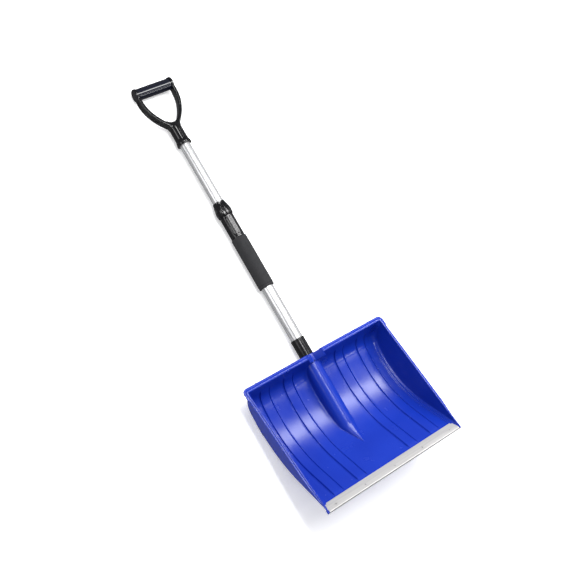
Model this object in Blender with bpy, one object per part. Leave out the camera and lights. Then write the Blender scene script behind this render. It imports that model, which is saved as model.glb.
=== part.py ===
"""Snow shovel with a moulded scoop, a telescoping tube handle, a twist-lock nut and a D-grip.

The shovel lies face up on the ground. X is across the scoop, Y runs along the handle from the
scoop's front edge towards the D-grip, and Z is up. The ground is at z = 0, and the origin is under
the middle of the shovel's box.

Every piece is drawn in handle coordinates: x across, s along the handle from the scoop's front
edge, and h up from the handle's centre line.
"""

import math

import bmesh
import bpy
from mathutils import Vector

# ---- Driving dimensions, in metres and degrees -------------------------------------------------

GAP = 0.0003  # between pieces that touch
OVER = 0.025  # cutters run this far past what they cut
TURN_SEGMENTS = 40  # facets round a tube
BOSS_SEGMENTS = 32
CAP_SEGMENTS = 24
SMALL_SEGMENTS = 16  # facets round a screw or a rivet
NUT_SEGMENTS = 64
FLOOR_STEPS = 14
CREASE_STEPS = 4
CORNER_STEPS = 6
ARM_STEPS = 14
MANY_BOOLEANS = ("scoop", "grip_frame")  # the exact solver leaves holes in these

# Scoop
MOUTH_WIDTH = 0.405  # inside, at the rim
EDGE_HEIGHT = 0.115  # front edge above the handle's centre line
RIM_REACH = 0.320  # front edge to the back of the mouth, along the handle
RIM_HEIGHT = 0.048  # back of the mouth above the handle's centre line
RAMP_ANGLE = 41.0  # front of the floor, down from the handle's direction
RAMP_LENGTH = 0.1167
FLOOR_RADIUS = 0.224
CREASE_RADIUS = 0.012  # where the floor turns up into the back wall
BACK_WALL_ANGLE = 70.0  # back wall, up from the handle's direction
SIDE_DRAFT = 5.2  # side walls lean out by this much
WALL = 0.0032
TOE_REACH = 0.003  # side walls run past the floor's front edge
FLANGE_THINNING = 0.0004  # flange is thinner than the walls by this much
SIDE_FLANGE = 0.008
BACK_FLANGE = 0.0125
CORNER_OVERHANG = 0.0025  # flange stands out further near its back corners
CORNER_LENGTH = 0.028
CORNER_RADIUS = 0.012
TOE_BARE = 0.012  # no side flange over this length behind the front edge
TOE_TAPER = 0.075  # side flange reaches its full width here
NOTCH_HALF_WIDTH = 0.022  # in the back rim, above the socket
NOTCH_FLOOR_HALF_WIDTH = 0.004
NOTCH_CLEARANCE = 0.003  # bottom of the notch above the socket
RIB_HEIGHT = 0.0012
RIB_WIDTH = 0.026
RIB_CENTRES = (0.079, 0.149)  # either side of the middle
RIB_SETBACK = 0.030  # from the floor's front edge, along the floor
RIB_END_TAPER = 0.006
GUSSET_THICKNESS = 0.003
GUSSET_TOP = 0.040  # gussets' tops above the handle's centre line
GUSSET_FOOT = 0.010
GUSSET_SINK = 0.004  # gussets reach this far into the back wall and the socket
HEEL_LENGTH = 0.032  # flat skid under the lowest part of the floor
HEEL_FLARE = 0.004
NUT_CLEARANCE = 0.0002  # least height above the ground, as are the next two
SOCKET_CLEARANCE = 0.0004
FLOOR_CLEARANCE = 0.0008

# Socket for the handle, moulded in the scoop
SOCKET_WALL = 0.003
SOCKET_DEPTH = 0.115  # handle's end inside the mouth's back edge
SOCKET_COLLAR = 0.012  # socket runs on behind the back of the mouth
SOCKET_NOSE = 0.045  # tapered end in front of the handle's end
SOCKET_TIP_RADIUS = 0.00945  # of the tapered end
SOCKET_TAPER_SETBACK = 0.012  # the taper starts this far before the handle's end
SOCKET_FLOOR_GAP = 0.002  # between the handle's end and the tube inside it
RIDGE_SKIN = 0.0005  # ridge inside the scoop stands out from the socket
RIDGE_SEGMENTS = 18
RIDGE_SECTIONS = 12

# Wear strip on the front edge
STRIP_THICKNESS = 0.0012
STRIP_TOP_WIDTH = 0.0245
STRIP_UNDER_WIDTH = 0.014
STRIP_SIDE_GAP = 0.0020
RIVET_COUNT = 5
RIVET_SPACING = 0.088
RIVET_SETBACK = 0.0085
RIVET_SHANK_RADIUS = 0.0016
RIVET_HEAD_RADIUS = 0.0034
RIVET_HEAD_HEIGHT = 0.0011
RIVET_FLUSH_RADIUS = 0.0024

# Handle tubes
UPPER_TUBE_RADIUS = 0.014
TUBE_WALL = 0.0012
TUBE_PLAY = 0.0008  # between the two tubes
LOWER_TUBE_LENGTH = 0.5192
UPPER_TUBE_LENGTH = 0.484
TUBE_SHOWING = 0.172  # upper tube between the nut and the D-grip, at rest
TUBE_IN_GRIP = 0.050
FERRULE_WALL = 0.0014
FERRULE_SHOWING = 0.060  # ferrule behind the back of the mouth
FERRULE_LIP = 0.0009
PLUG_LENGTH = 0.085
PLUG_BEVEL = 0.002
FOAM_LENGTH = 0.143
FOAM_SETBACK = 0.0555  # foam's top from the lower tube's top
FOAM_THICKNESS = 0.0040
FOAM_EDGE_RADIUS = 0.0015
FOAM_RING_SETBACK = 0.0075  # groove near the foam's lower end
FOAM_RING_DEPTH = 0.0007

# Twist lock
BODY_WALL = 0.0019
BODY_BEVEL = 0.0006
NECK_BEVEL = 0.001
BODY_FLUTES = 10
FLUTE_DEPTH = 0.0009
FLUTE_LAND = 0.006  # plain length at each end of the flutes
NUT_RISE = 0.0075  # nut's bottom above the lower tube's top
NUT_LENGTH = 0.040
NUT_WALL = 0.0030  # at the lobes, round the thread
NUT_TOP_WALL = 0.0017
NUT_LOBES = 4
NUT_GROOVE_DEPTH = 0.0014
NUT_TURN = -16.0  # a groove's place round the handle, from straight up
NUT_CONE_LENGTH = 0.016
NUT_LAND = 0.003  # straight bore above the cone
NECK_LENGTH = 0.018  # threaded end of the clamp body, inside the nut
COLLET_LENGTH = 0.034
COLLET_WALL = 0.0016
COLLET_SLOT = 0.0025
THREAD_CLEARANCE = 0.0003
SLIDE_CLEARANCE = 0.0003

# Guide bush on the upper tube's inner end
BUSH_HEAD_LENGTH = 0.010
BUSH_SPIGOT_LENGTH = 0.022
BUSH_BORE_RADIUS = 0.006
BUSH_BEVEL = 0.001

# D-grip
BAR_RISE = 0.167  # bar, crotch and screw are measured from the grip's lower end
CROTCH_RISE = 0.0665  # bottom of the hand gap
GRIP_SCREW_RISE = 0.030
BAR_RADIUS = 0.015
BAR_LENGTH = 0.0964
BOSS_RADIUS = 0.017
BOSS_THICKNESS = 0.0062
BOSS_TRIM = 0.003  # trimmed off each boss together with the arm's inner side
BAR_BORE_RADIUS = 0.0045
BAR_BEVEL = 0.0012
BAR_BOLT_RADIUS = 0.0030
BOLT_HEAD_RADIUS = 0.0052
BOLT_HEAD_THICKNESS = 0.0022
CAP_RADIUS = 0.0125
CAP_THICKNESS = 0.0013
CAP_RECESS = 0.0016
CAP_BEVEL = 0.0004
ARM_THICKNESS = 0.0090
ARM_DEPTH = 0.0250
ARM_CHANNEL = 0.0034
ARM_FLANGE = 0.0045
ARM_INSET = 0.0006  # arms' outer sides inside the bosses' faces
ARM_BOW = 0.0050  # arms swell past the bosses
ARM_KNEE = 0.050  # below the bar
ARM_HIP = 0.018  # above the crotch
ARM_ROOT = 0.012  # below the crotch
ARM_BEVEL = 0.0015
NECK_WALL = 0.0022
NECK_COLLAR_LENGTH = 0.014
NECK_COLLAR_FLARE = 0.0034

# Fasteners through the handle, all from underneath
SOCKET_SCREW_RISES = (0.041, 0.087)  # from the handle's end
SCREW_SHANK_RADIUS = 0.0019
SCREW_HEAD_RADIUS = 0.0038
SCREW_HEAD_HEIGHT = 0.0018
SCREW_HEAD_EDGE = 0.0003
DOME_HEIGHT = 0.0013  # of the clamp rivet's head
PAN_HEIGHT = 0.0020  # of the grip screw's head
SCREW_BITE = 0.008
SCREW_POINT = 0.002
BODY_RIVET_SETBACK = 0.0265  # from the lower tube's top

# ---- Worked-out sizes --------------------------------------------------------------------------

HALF_MOUTH = MOUTH_WIDTH / 2
FLANGE_THICKNESS = WALL - FLANGE_THINNING
LOWER_TUBE_RADIUS = UPPER_TUBE_RADIUS + TUBE_PLAY + TUBE_WALL
SOCKET_BORE = LOWER_TUBE_RADIUS + GAP + FERRULE_WALL + GAP
SOCKET_RADIUS = SOCKET_BORE + SOCKET_WALL
LOWER_BORE = LOWER_TUBE_RADIUS - TUBE_WALL
UPPER_BORE = UPPER_TUBE_RADIUS - TUBE_WALL
BODY_BORE = LOWER_TUBE_RADIUS + GAP
BODY_RADIUS = BODY_BORE + BODY_WALL
FOAM_RADIUS = LOWER_TUBE_RADIUS + GAP + FOAM_THICKNESS
NUT_BORE = BODY_RADIUS + THREAD_CLEARANCE
NUT_RADIUS = NUT_BORE + NUT_WALL
TUBE_PASS = UPPER_TUBE_RADIUS + SLIDE_CLEARANCE
NECK_BORE = UPPER_TUBE_RADIUS + GAP
NECK_RADIUS = NECK_BORE + NECK_WALL
BOSS_OUTER = BAR_LENGTH / 2 + GAP + BOSS_THICKNESS

# Stations along the handle, from the scoop's front edge
HANDLE_END = RIM_REACH - SOCKET_DEPTH
LOWER_TUBE_BASE = HANDLE_END + GAP + SOCKET_FLOOR_GAP
LOWER_TUBE_TOP = LOWER_TUBE_BASE + LOWER_TUBE_LENGTH
FERRULE_TOP = RIM_REACH + FERRULE_SHOWING
FOAM_TOP = LOWER_TUBE_TOP - FOAM_SETBACK
FOAM_BOTTOM = FOAM_TOP - FOAM_LENGTH
NUT_BOTTOM = LOWER_TUBE_TOP + NUT_RISE
NUT_TOP = NUT_BOTTOM + NUT_LENGTH
GRIP_BOTTOM = NUT_TOP + TUBE_SHOWING
GRIP_CROTCH = GRIP_BOTTOM + CROTCH_RISE
BAR_STATION = GRIP_BOTTOM + BAR_RISE
UPPER_TUBE_TOP = GRIP_BOTTOM + TUBE_IN_GRIP
UPPER_TUBE_BOTTOM = UPPER_TUBE_TOP - UPPER_TUBE_LENGTH
SOCKET_SCREW_STATIONS = [HANDLE_END + rise for rise in SOCKET_SCREW_RISES]
BODY_RIVET_STATION = LOWER_TUBE_TOP - BODY_RIVET_SETBACK
GRIP_SCREW_STATION = GRIP_BOTTOM + GRIP_SCREW_RISE

RAMP = math.radians(RAMP_ANGLE)
BACK_SLOPE = math.radians(BACK_WALL_ANGLE)
DRAFT = math.tan(math.radians(SIDE_DRAFT))
RIM_TILT = math.atan2(EDGE_HEIGHT - RIM_HEIGHT, RIM_REACH)
ARC_S = RAMP_LENGTH * math.cos(RAMP) + FLOOR_RADIUS * math.sin(RAMP)
ARC_H = EDGE_HEIGHT - RAMP_LENGTH * math.sin(RAMP) + FLOOR_RADIUS * math.cos(RAMP)
FLOOR_LOW = ARC_H - FLOOR_RADIUS
NOTCH_FLOOR = SOCKET_RADIUS + NOTCH_CLEARANCE
NOTCH_SLOPE = (NOTCH_HALF_WIDTH - NOTCH_FLOOR_HALF_WIDTH) / (RIM_HEIGHT - NOTCH_FLOOR)

# The heel reaches below everything else, so that it alone meets the ground.
AXIS_HEIGHT = max(
    NUT_RADIUS + NUT_CLEARANCE,
    SOCKET_RADIUS + SOCKET_CLEARANCE,
    WALL - FLOOR_LOW + FLOOR_CLEARANCE,
)
GRIP_END = BAR_STATION + BOSS_RADIUS
SHOVEL_FRONT = -(TOE_REACH * math.cos(RAMP) + WALL * math.sin(RAMP))
MIDDLE_STATION = (GRIP_END + SHOVEL_FRONT) / 2


# ---- Making objects ----------------------------------------------------------------------------


def clear_scene():
    """Remove whatever the start-up scene holds."""
    for found in list(bpy.data.objects):
        bpy.data.objects.remove(found, do_unlink=True)


def material(name, colour, roughness, metallic=0.0):
    """A plain Principled material."""
    made = bpy.data.materials.new(name)
    made.use_nodes = True
    shader = made.node_tree.nodes["Principled BSDF"]
    shader.inputs["Base Color"].default_value = (*colour, 1.0)
    shader.inputs["Roughness"].default_value = roughness
    shader.inputs["Metallic"].default_value = metallic
    made.diffuse_color = (*colour, 1.0)
    return made


def on_handle(station):
    """The world point on the handle's centre line at this station."""
    return Vector((0.0, station - MIDDLE_STATION, AXIS_HEIGHT))


def make_object(name, mesh_builder, station=0.0, finish=None, parent=None):
    """An object from a bmesh in handle coordinates, with its origin on the handle's centre line."""
    mesh = bpy.data.meshes.new(name)
    bmesh.ops.translate(mesh_builder, verts=mesh_builder.verts, vec=(0.0, -station, 0.0))
    bmesh.ops.recalc_face_normals(mesh_builder, faces=mesh_builder.faces)
    mesh_builder.to_mesh(mesh)
    mesh_builder.free()
    made = bpy.data.objects.new(name, mesh)
    bpy.context.scene.collection.objects.link(made)
    made.location = on_handle(station)
    if finish:
        mesh.materials.append(finish)
    if parent:
        made.parent = parent
        made.matrix_parent_inverse = parent.matrix_basis.inverted()
    return made


def smooth(made, degrees=35.0):
    """Shade an object smooth, with its corners left sharp."""
    made.data.shade_smooth()
    made.data.set_sharp_from_angle(angle=math.radians(degrees))


def helper(name, mesh_builder):
    """A cutter or a shape to join, which isn't itself part of the shovel."""
    made = make_object(name, mesh_builder)
    made.hide_render = True
    made.display_type = "WIRE"
    return made


def combine(target, operation, name, mesh_builder):
    """Cut a shape from an object, or join the shape to it. Both are closed meshes."""
    modifier = target.modifiers.new(name, "BOOLEAN")
    modifier.operation = operation
    modifier.solver = "MANIFOLD" if target.name in MANY_BOOLEANS else "EXACT"
    modifier.object = helper(f"{target.name}_{name}", mesh_builder)


def axis_empty(name, station):
    """An empty on the handle's centre line, which carries the pieces that move together."""
    made = bpy.data.objects.new(name, None)
    bpy.context.scene.collection.objects.link(made)
    made.location = on_handle(station)
    return made


# ---- Mesh tools --------------------------------------------------------------------------------


def lofted(rings):
    """A closed solid through rings of equally many points, capped at both ends."""
    made = bmesh.new()
    rows = [[made.verts.new(point) for point in ring] for ring in rings]
    count = len(rows[0])
    for low, high in zip(rows, rows[1:]):
        for i in range(count):
            j = (i + 1) % count
            made.faces.new((low[i], low[j], high[j], high[i]))
    made.faces.new(rows[0])
    made.faces.new(rows[-1])
    bmesh.ops.remove_doubles(made, verts=made.verts, dist=1e-6)
    return made


def slab(outline, low, high, place):
    """A solid between two copies of an outline; place(a, b, c) gives the point at depth c."""
    return lofted([[place(a, b, c) for a, b in outline] for c in (low, high)])


def across(outline, low, high):
    """A solid from an outline in (s, h), running across the shovel from x = low to high."""
    return slab(outline, low, high, lambda s, h, x: (x, s, h))


def turned(profile, segments=TURN_SEGMENTS, place=None, radius_at=None):
    """A solid turned round the handle, from a closed profile of (radius, station) points.

    place(u, v, station) maps each point away from the handle's axis to another axis, and
    radius_at(radius, station, angle) changes the radius round the turn.
    """
    place = place or (lambda u, v, station: (u, station, v))
    made = bmesh.new()
    rows = []
    for radius, station in profile:
        row = []
        for i in range(segments if radius > 0 else 1):
            angle = math.tau * i / segments
            r = radius_at(radius, station, angle) if radius_at else radius
            row.append(made.verts.new(place(r * math.sin(angle), r * math.cos(angle), station)))
        rows.append(row)
    for low, high in zip(rows, rows[1:] + rows[:1]):
        for i in range(segments):
            j = (i + 1) % segments
            corners = [low[i % len(low)], low[j % len(low)], high[j % len(high)], high[i % len(high)]]
            corners = list(dict.fromkeys(corners))
            if len(corners) > 2:
                made.faces.new(corners)
    return made


def below(station):
    """Maps a turned piece onto the line that runs down from the handle at a station."""
    return lambda u, v, drop: (u, station + v, -drop)


def sideways(station):
    """Maps a turned piece onto the line across the shovel at a station."""
    return lambda u, v, x: (x, station + u, v)


def cylinder(radius, low, high, place=None, segments=TURN_SEGMENTS):
    """A plain solid cylinder."""
    return turned([(0, low), (radius, low), (radius, high), (0, high)], segments, place)


def sleeve(inner, outer, low, high):
    """A plain tube round the handle."""
    return turned([(inner, low), (outer, low), (outer, high), (inner, high)])


def arc(centre, radius, start, end, steps):
    """Points on an arc, by angle from +first axis towards +second axis."""
    angles = [start + (end - start) * i / steps for i in range(steps + 1)]
    return [(centre[0] + radius * math.cos(a), centre[1] + radius * math.sin(a)) for a in angles]


# ---- Scoop -------------------------------------------------------------------------------------


def crease_slope():
    """The floor's slope where its crease starts, so that the back wall ends at the mouth's back."""
    across_wall = Vector((math.sin(BACK_SLOPE), -math.cos(BACK_SLOPE)))
    reach = Vector((RIM_REACH - ARC_S, RIM_HEIGHT - ARC_H)).dot(across_wall) - CREASE_RADIUS
    return BACK_SLOPE - math.acos(reach / (FLOOR_RADIUS - CREASE_RADIUS))


def floor_curve(below_floor, front=0.0, wall_top=0.0):
    """The floor and the back wall seen from the side, as (s, h), moved out by below_floor."""
    slope = crease_slope()
    crease = (
        ARC_S + (FLOOR_RADIUS - CREASE_RADIUS) * math.sin(slope),
        ARC_H - (FLOOR_RADIUS - CREASE_RADIUS) * math.cos(slope),
    )
    quarter = math.pi / 2
    start = (
        -front * math.cos(RAMP) - below_floor * math.sin(RAMP),
        EDGE_HEIGHT + front * math.sin(RAMP) - below_floor * math.cos(RAMP),
    )
    points = [start]
    radius = FLOOR_RADIUS + below_floor
    points += arc((ARC_S, ARC_H), radius, -quarter - RAMP, -quarter + slope, FLOOR_STEPS)[:-1]
    radius = CREASE_RADIUS + below_floor
    points += arc(crease, radius, -quarter + slope, -quarter + BACK_SLOPE, CREASE_STEPS)
    mouth = Vector((RIM_REACH, RIM_HEIGHT))
    mouth += below_floor * Vector((math.sin(BACK_SLOPE), -math.cos(BACK_SLOPE)))
    rise = below_floor / math.tan(BACK_SLOPE + RIM_TILT) + wall_top
    points.append((mouth.x + rise * math.cos(BACK_SLOPE), mouth.y + rise * math.sin(BACK_SLOPE)))
    return points


def to_rim(s, h):
    """(s, h) as (distance along the rim from the front edge, depth under the rim)."""
    drop = EDGE_HEIGHT - h
    return (
        s * math.cos(RIM_TILT) + drop * math.sin(RIM_TILT),
        drop * math.cos(RIM_TILT) - s * math.sin(RIM_TILT),
    )


def from_rim(x, along, depth):
    """A point given by its distance along the rim and its depth under it."""
    return (
        x,
        along * math.cos(RIM_TILT) - depth * math.sin(RIM_TILT),
        EDGE_HEIGHT - along * math.sin(RIM_TILT) - depth * math.cos(RIM_TILT),
    )


def tub(curve, half_width, top):
    """The solid between the rim and a floor curve, with its sides drawn in towards the floor."""
    rings = []
    for s, h in curve:
        along, depth = to_rim(s, h)
        depth = max(depth, top)
        low = half_width - depth * DRAFT
        high = half_width - top * DRAFT
        corners = ((-high, top), (high, top), (low, depth), (-low, depth))
        rings.append([from_rim(x, along, deep) for x, deep in corners])
    return lofted(rings)


def flange_outline():
    """The rim flange from above, as (x, distance along the rim), with its back corners rounded."""
    back = to_rim(RIM_REACH, RIM_HEIGHT)[0] + BACK_FLANGE
    bare = HALF_MOUTH + WALL
    side = HALF_MOUTH + SIDE_FLANGE
    corner = side + CORNER_OVERHANG
    step = back - CORNER_LENGTH
    half = [
        (bare, -TOE_REACH),
        (bare, TOE_BARE),
        (side, TOE_TAPER),
        (side, step - CORNER_OVERHANG),
        (corner, step),
    ]
    centre = (corner - CORNER_RADIUS, back - CORNER_RADIUS)
    half += arc(centre, CORNER_RADIUS, 0.0, math.pi / 2, CORNER_STEPS)
    return half + [(-x, along) for x, along in reversed(half)]


def notch_outline(top):
    """The notch in the back rim, as (x, h), up to this height."""
    floor_half = NOTCH_FLOOR_HALF_WIDTH
    top_half = floor_half + (top - NOTCH_FLOOR) * NOTCH_SLOPE
    return [(-top_half, top), (-floor_half, NOTCH_FLOOR), (floor_half, NOTCH_FLOOR), (top_half, top)]


def notch_cutter():
    """What is cut out of the back wall and the flange for the notch."""
    outline = notch_outline(RIM_HEIGHT + OVER)
    return slab(outline, RIM_REACH - OVER, RIM_REACH + BACK_FLANGE + OVER, lambda x, h, s: (x, s, h))


def notch_lip():
    """The flange where it follows the notch."""
    into_flange = 0.002
    depth = 0.8 * BACK_FLANGE
    upper = notch_outline(RIM_HEIGHT - into_flange)
    slant = FLANGE_THICKNESS * math.hypot(1.0, NOTCH_SLOPE)
    lower = [(x + math.copysign(slant, x), h) for x, h in upper]
    for i in (1, 2):
        lower[i] = (lower[i][0], NOTCH_FLOOR - FLANGE_THICKNESS)
    wall_s = RIM_REACH - (RIM_HEIGHT - NOTCH_FLOOR) / math.tan(BACK_SLOPE)
    return slab(upper + lower[::-1], wall_s, RIM_REACH + depth, lambda x, h, s: (x, s, h))


def rib_on_floor(centre):
    """A low wide rib that runs along the floor, from near the strip to the crease."""
    ramp_steps = 5
    arc_steps = 13
    sunk = -0.4 * WALL
    spine = []
    for step in range(ramp_steps):
        along = RIB_SETBACK + (RAMP_LENGTH - RIB_SETBACK) * step / ramp_steps
        spine.append((*ramp_point(along, 0.0), -RAMP))
    for step in range(arc_steps):
        slope = -RAMP + (crease_slope() + RAMP) * step / (arc_steps - 1)
        s = ARC_S + FLOOR_RADIUS * math.sin(slope)
        h = ARC_H - FLOOR_RADIUS * math.cos(slope)
        spine.append((s, h, slope))
    rings = []
    for place, (s, h, slope) in enumerate(spine):
        at_end = place in (0, len(spine) - 1)
        half = RIB_WIDTH / 2 - (RIB_END_TAPER if at_end else 0.0)
        corners = ((-half, sunk), (half, sunk), (half, RIB_HEIGHT), (-half, RIB_HEIGHT))
        ring = [
            (centre + x, s - math.sin(slope) * lift, h + math.cos(slope) * lift)
            for x, lift in corners
        ]
        rings.append(ring)
    return lofted(rings)


def floor_height(s):
    """The floor's height at a station, ahead of the crease."""
    if s < RAMP_LENGTH * math.cos(RAMP):
        return EDGE_HEIGHT - s * math.tan(RAMP)
    return ARC_H - math.sqrt(FLOOR_RADIUS**2 - (s - ARC_S) ** 2)


def floor_station(height):
    """Where the falling front of the floor passes a height."""
    if height > EDGE_HEIGHT - RAMP_LENGTH * math.sin(RAMP):
        return (EDGE_HEIGHT - height) / math.tan(RAMP)
    return ARC_S - math.sqrt(FLOOR_RADIUS**2 - (ARC_H - height) ** 2)


def socket_shape():
    """The handle socket: a straight collar and a tapered nose that sinks into the floor."""
    nose = HANDLE_END - SOCKET_NOSE
    end = RIM_REACH + SOCKET_COLLAR
    full = HANDLE_END - SOCKET_TAPER_SETBACK
    tip = SOCKET_TIP_RADIUS
    return turned([(0, nose), (tip, nose), (SOCKET_RADIUS, full), (SOCKET_RADIUS, end), (0, end)])


def ridge_shape():
    """The ridge over the socket, which runs on forwards until the rising floor covers it."""
    radius = SOCKET_RADIUS + RIDGE_SKIN
    front = floor_station(radius - 0.3 * WALL)
    back = RIM_REACH - (RIM_HEIGHT - radius) / math.tan(BACK_SLOPE) + WALL / 2
    rings = []
    for i in range(RIDGE_SECTIONS + 1):
        s = front + (back - front) * i / RIDGE_SECTIONS
        base = max(floor_height(min(s, ARC_S)), floor_height(s) - WALL) - WALL / 2
        start = max(0.0, math.asin(min(base / radius, 0.99)))
        crown = arc((0.0, 0.0), radius, start, math.pi - start, RIDGE_SEGMENTS)
        side = crown[0][0]
        rings.append([(x, s, h) for x, h in [(side, base), *crown, (-side, base)]])
    return lofted(rings)


def heel_shape():
    """A flat skid across the floor's lowest line."""
    half = HEEL_LENGTH / 2
    wide = half + HEEL_FLARE
    low = -AXIS_HEIGHT
    top = FLOOR_LOW - WALL * 0.4
    outline = [(ARC_S - half, low), (ARC_S + half, low), (ARC_S + wide, top), (ARC_S - wide, top)]
    depth = to_rim(ARC_S, FLOOR_LOW)[1]
    reach = HALF_MOUTH - depth * DRAFT
    return across(outline, -reach, reach)


def gusset_shape(side):
    """A stiffening plate between the socket, the back wall and the rim flange."""
    outer = side * (SOCKET_RADIUS - RIDGE_SKIN)
    inner = outer - side * GUSSET_THICKNESS
    wall_s = RIM_REACH + WALL / 2
    base = wall_s - (RIM_HEIGHT + GUSSET_SINK) / math.tan(BACK_SLOPE)
    reach = RIM_REACH + SOCKET_COLLAR - GUSSET_THICKNESS
    outline = [
        (base, -GUSSET_SINK),
        (reach, -GUSSET_SINK),
        (reach, GUSSET_FOOT),
        (wall_s + GUSSET_SINK, GUSSET_TOP),
        (wall_s, GUSSET_TOP),
    ]
    return across(outline, min(inner, outer), max(inner, outer))


def lip_trim():
    """What is cut off the floor in front of its front edge, between the side walls."""
    corners = ((0.0, OVER), (-OVER, OVER), (-OVER, -OVER), (0.0, -OVER))
    return across([ramp_point(*corner) for corner in corners], -HALF_MOUTH, HALF_MOUTH)


def ramp_point(along, above):
    """(s, h) of a point on the ramp: along it from the front edge, and above its surface."""
    return (
        along * math.cos(RAMP) + above * math.sin(RAMP),
        EDGE_HEIGHT - along * math.sin(RAMP) + above * math.cos(RAMP),
    )


def on_ramp(x, along):
    """Maps a turned piece onto a line square to the ramp; its stations count up from the ramp."""

    def place(u, v, above):
        s, h = ramp_point(along + v, above)
        return (x + u, s, h)

    return place


def rivet_places():
    """x of each rivet in the wear strip."""
    return [(i - (RIVET_COUNT - 1) / 2) * RIVET_SPACING for i in range(RIVET_COUNT)]


def build_scoop(finish):
    """The moulded scoop with its flange, ribs and handle socket."""
    tub_outside = tub(floor_curve(WALL, front=TOE_REACH), HALF_MOUTH + WALL, 0.0)
    scoop = make_object("scoop", tub_outside, finish=finish)
    flange = slab(flange_outline(), 0.0, FLANGE_THICKNESS, from_rim)
    combine(scoop, "UNION", "flange", flange)
    mouth = tub(floor_curve(0.0, front=OVER, wall_top=OVER), HALF_MOUTH, -OVER)
    combine(scoop, "DIFFERENCE", "mouth", mouth)
    combine(scoop, "DIFFERENCE", "notch", notch_cutter())
    combine(scoop, "UNION", "notch_lip", notch_lip())
    combine(scoop, "UNION", "socket", socket_shape())
    combine(scoop, "UNION", "ridge", ridge_shape())
    combine(scoop, "UNION", "heel", heel_shape())
    for side in (-1, 1):
        label = "left" if side < 0 else "right"
        combine(scoop, "UNION", f"gusset_{label}", gusset_shape(side))
        for number, centre in enumerate(RIB_CENTRES, 1):
            combine(scoop, "UNION", f"rib_{label}_{number}", rib_on_floor(side * centre))
    bore = cylinder(SOCKET_BORE, HANDLE_END - GAP, RIM_REACH + SOCKET_COLLAR + OVER)
    combine(scoop, "DIFFERENCE", "socket_bore", bore)
    combine(scoop, "DIFFERENCE", "front_trim", lip_trim())
    for number, station in enumerate(SOCKET_SCREW_STATIONS, 1):
        combine(scoop, "DIFFERENCE", f"screw_hole_{number}", screw_hole(station))
    hole_radius = RIVET_SHANK_RADIUS + GAP
    for number, x in enumerate(rivet_places(), 1):
        hole = cylinder(hole_radius, -WALL - OVER, OVER, on_ramp(x, RIVET_SETBACK), SMALL_SEGMENTS)
        combine(scoop, "DIFFERENCE", f"rivet_hole_{number}", hole)
    smooth(scoop)
    return scoop


# ---- Wear strip --------------------------------------------------------------------------------


def build_strip(finish, rivet_finish):
    """The folded metal strip on the front edge, and its rivets."""
    under = -WALL - GAP
    thick = STRIP_THICKNESS
    path = [
        (STRIP_TOP_WIDTH, GAP),
        (STRIP_TOP_WIDTH, GAP + thick),
        (-GAP - thick, GAP + thick),
        (-GAP - thick, under - thick),
        (STRIP_UNDER_WIDTH, under - thick),
        (STRIP_UNDER_WIDTH, under),
        (-GAP, under),
        (-GAP, GAP),
    ]
    half = HALF_MOUTH - STRIP_SIDE_GAP
    strip = make_object("wear_strip", across([ramp_point(*p) for p in path], -half, half), finish=finish)
    top = GAP + thick
    countersink = top - thick * 0.6
    foot = under - thick - GAP
    clear = RIVET_FLUSH_RADIUS + GAP
    bore = RIVET_SHANK_RADIUS + GAP
    cut = [
        (0, under - OVER),
        (bore, under - OVER),
        (bore, countersink),
        (clear, top + GAP),
        (0, top + GAP),
    ]
    shape = [
        (0, foot - RIVET_HEAD_HEIGHT),
        (RIVET_HEAD_RADIUS * 0.6, foot - RIVET_HEAD_HEIGHT * 0.85),
        (RIVET_HEAD_RADIUS, foot),
        (RIVET_SHANK_RADIUS, foot),
        (RIVET_SHANK_RADIUS, countersink),
        (RIVET_FLUSH_RADIUS, top),
        (0, top),
    ]
    for number, x in enumerate(rivet_places(), 1):
        place = on_ramp(x, RIVET_SETBACK)
        combine(strip, "DIFFERENCE", f"rivet_hole_{number}", turned(cut, SMALL_SEGMENTS, place))
        rivet = turned(shape, SMALL_SEGMENTS, place)
        smooth(make_object(f"strip_rivet_{number}", rivet, finish=rivet_finish))
    smooth(strip)


# ---- Handle ------------------------------------------------------------------------------------


def screw_hole(station):
    """The countersunk hole for a socket screw in the scoop."""
    face = SOCKET_RADIUS - GAP
    rim = SCREW_HEAD_RADIUS + GAP
    shank = SCREW_SHANK_RADIUS + GAP
    inside = SOCKET_BORE / 3
    cut = [
        (0, inside),
        (shank, inside),
        (shank, face - SCREW_HEAD_HEIGHT - GAP),
        (rim, face - SCREW_HEAD_EDGE - GAP),
        (rim, face + OVER),
        (0, face + OVER),
    ]
    return turned(cut, SMALL_SEGMENTS, below(station))


def plain_hole(station, low):
    """A round hole for a screw or a rivet, from this far under the centre line downwards."""
    return cylinder(SCREW_SHANK_RADIUS + GAP, low, BODY_RADIUS + OVER, below(station), SMALL_SEGMENTS)


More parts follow.
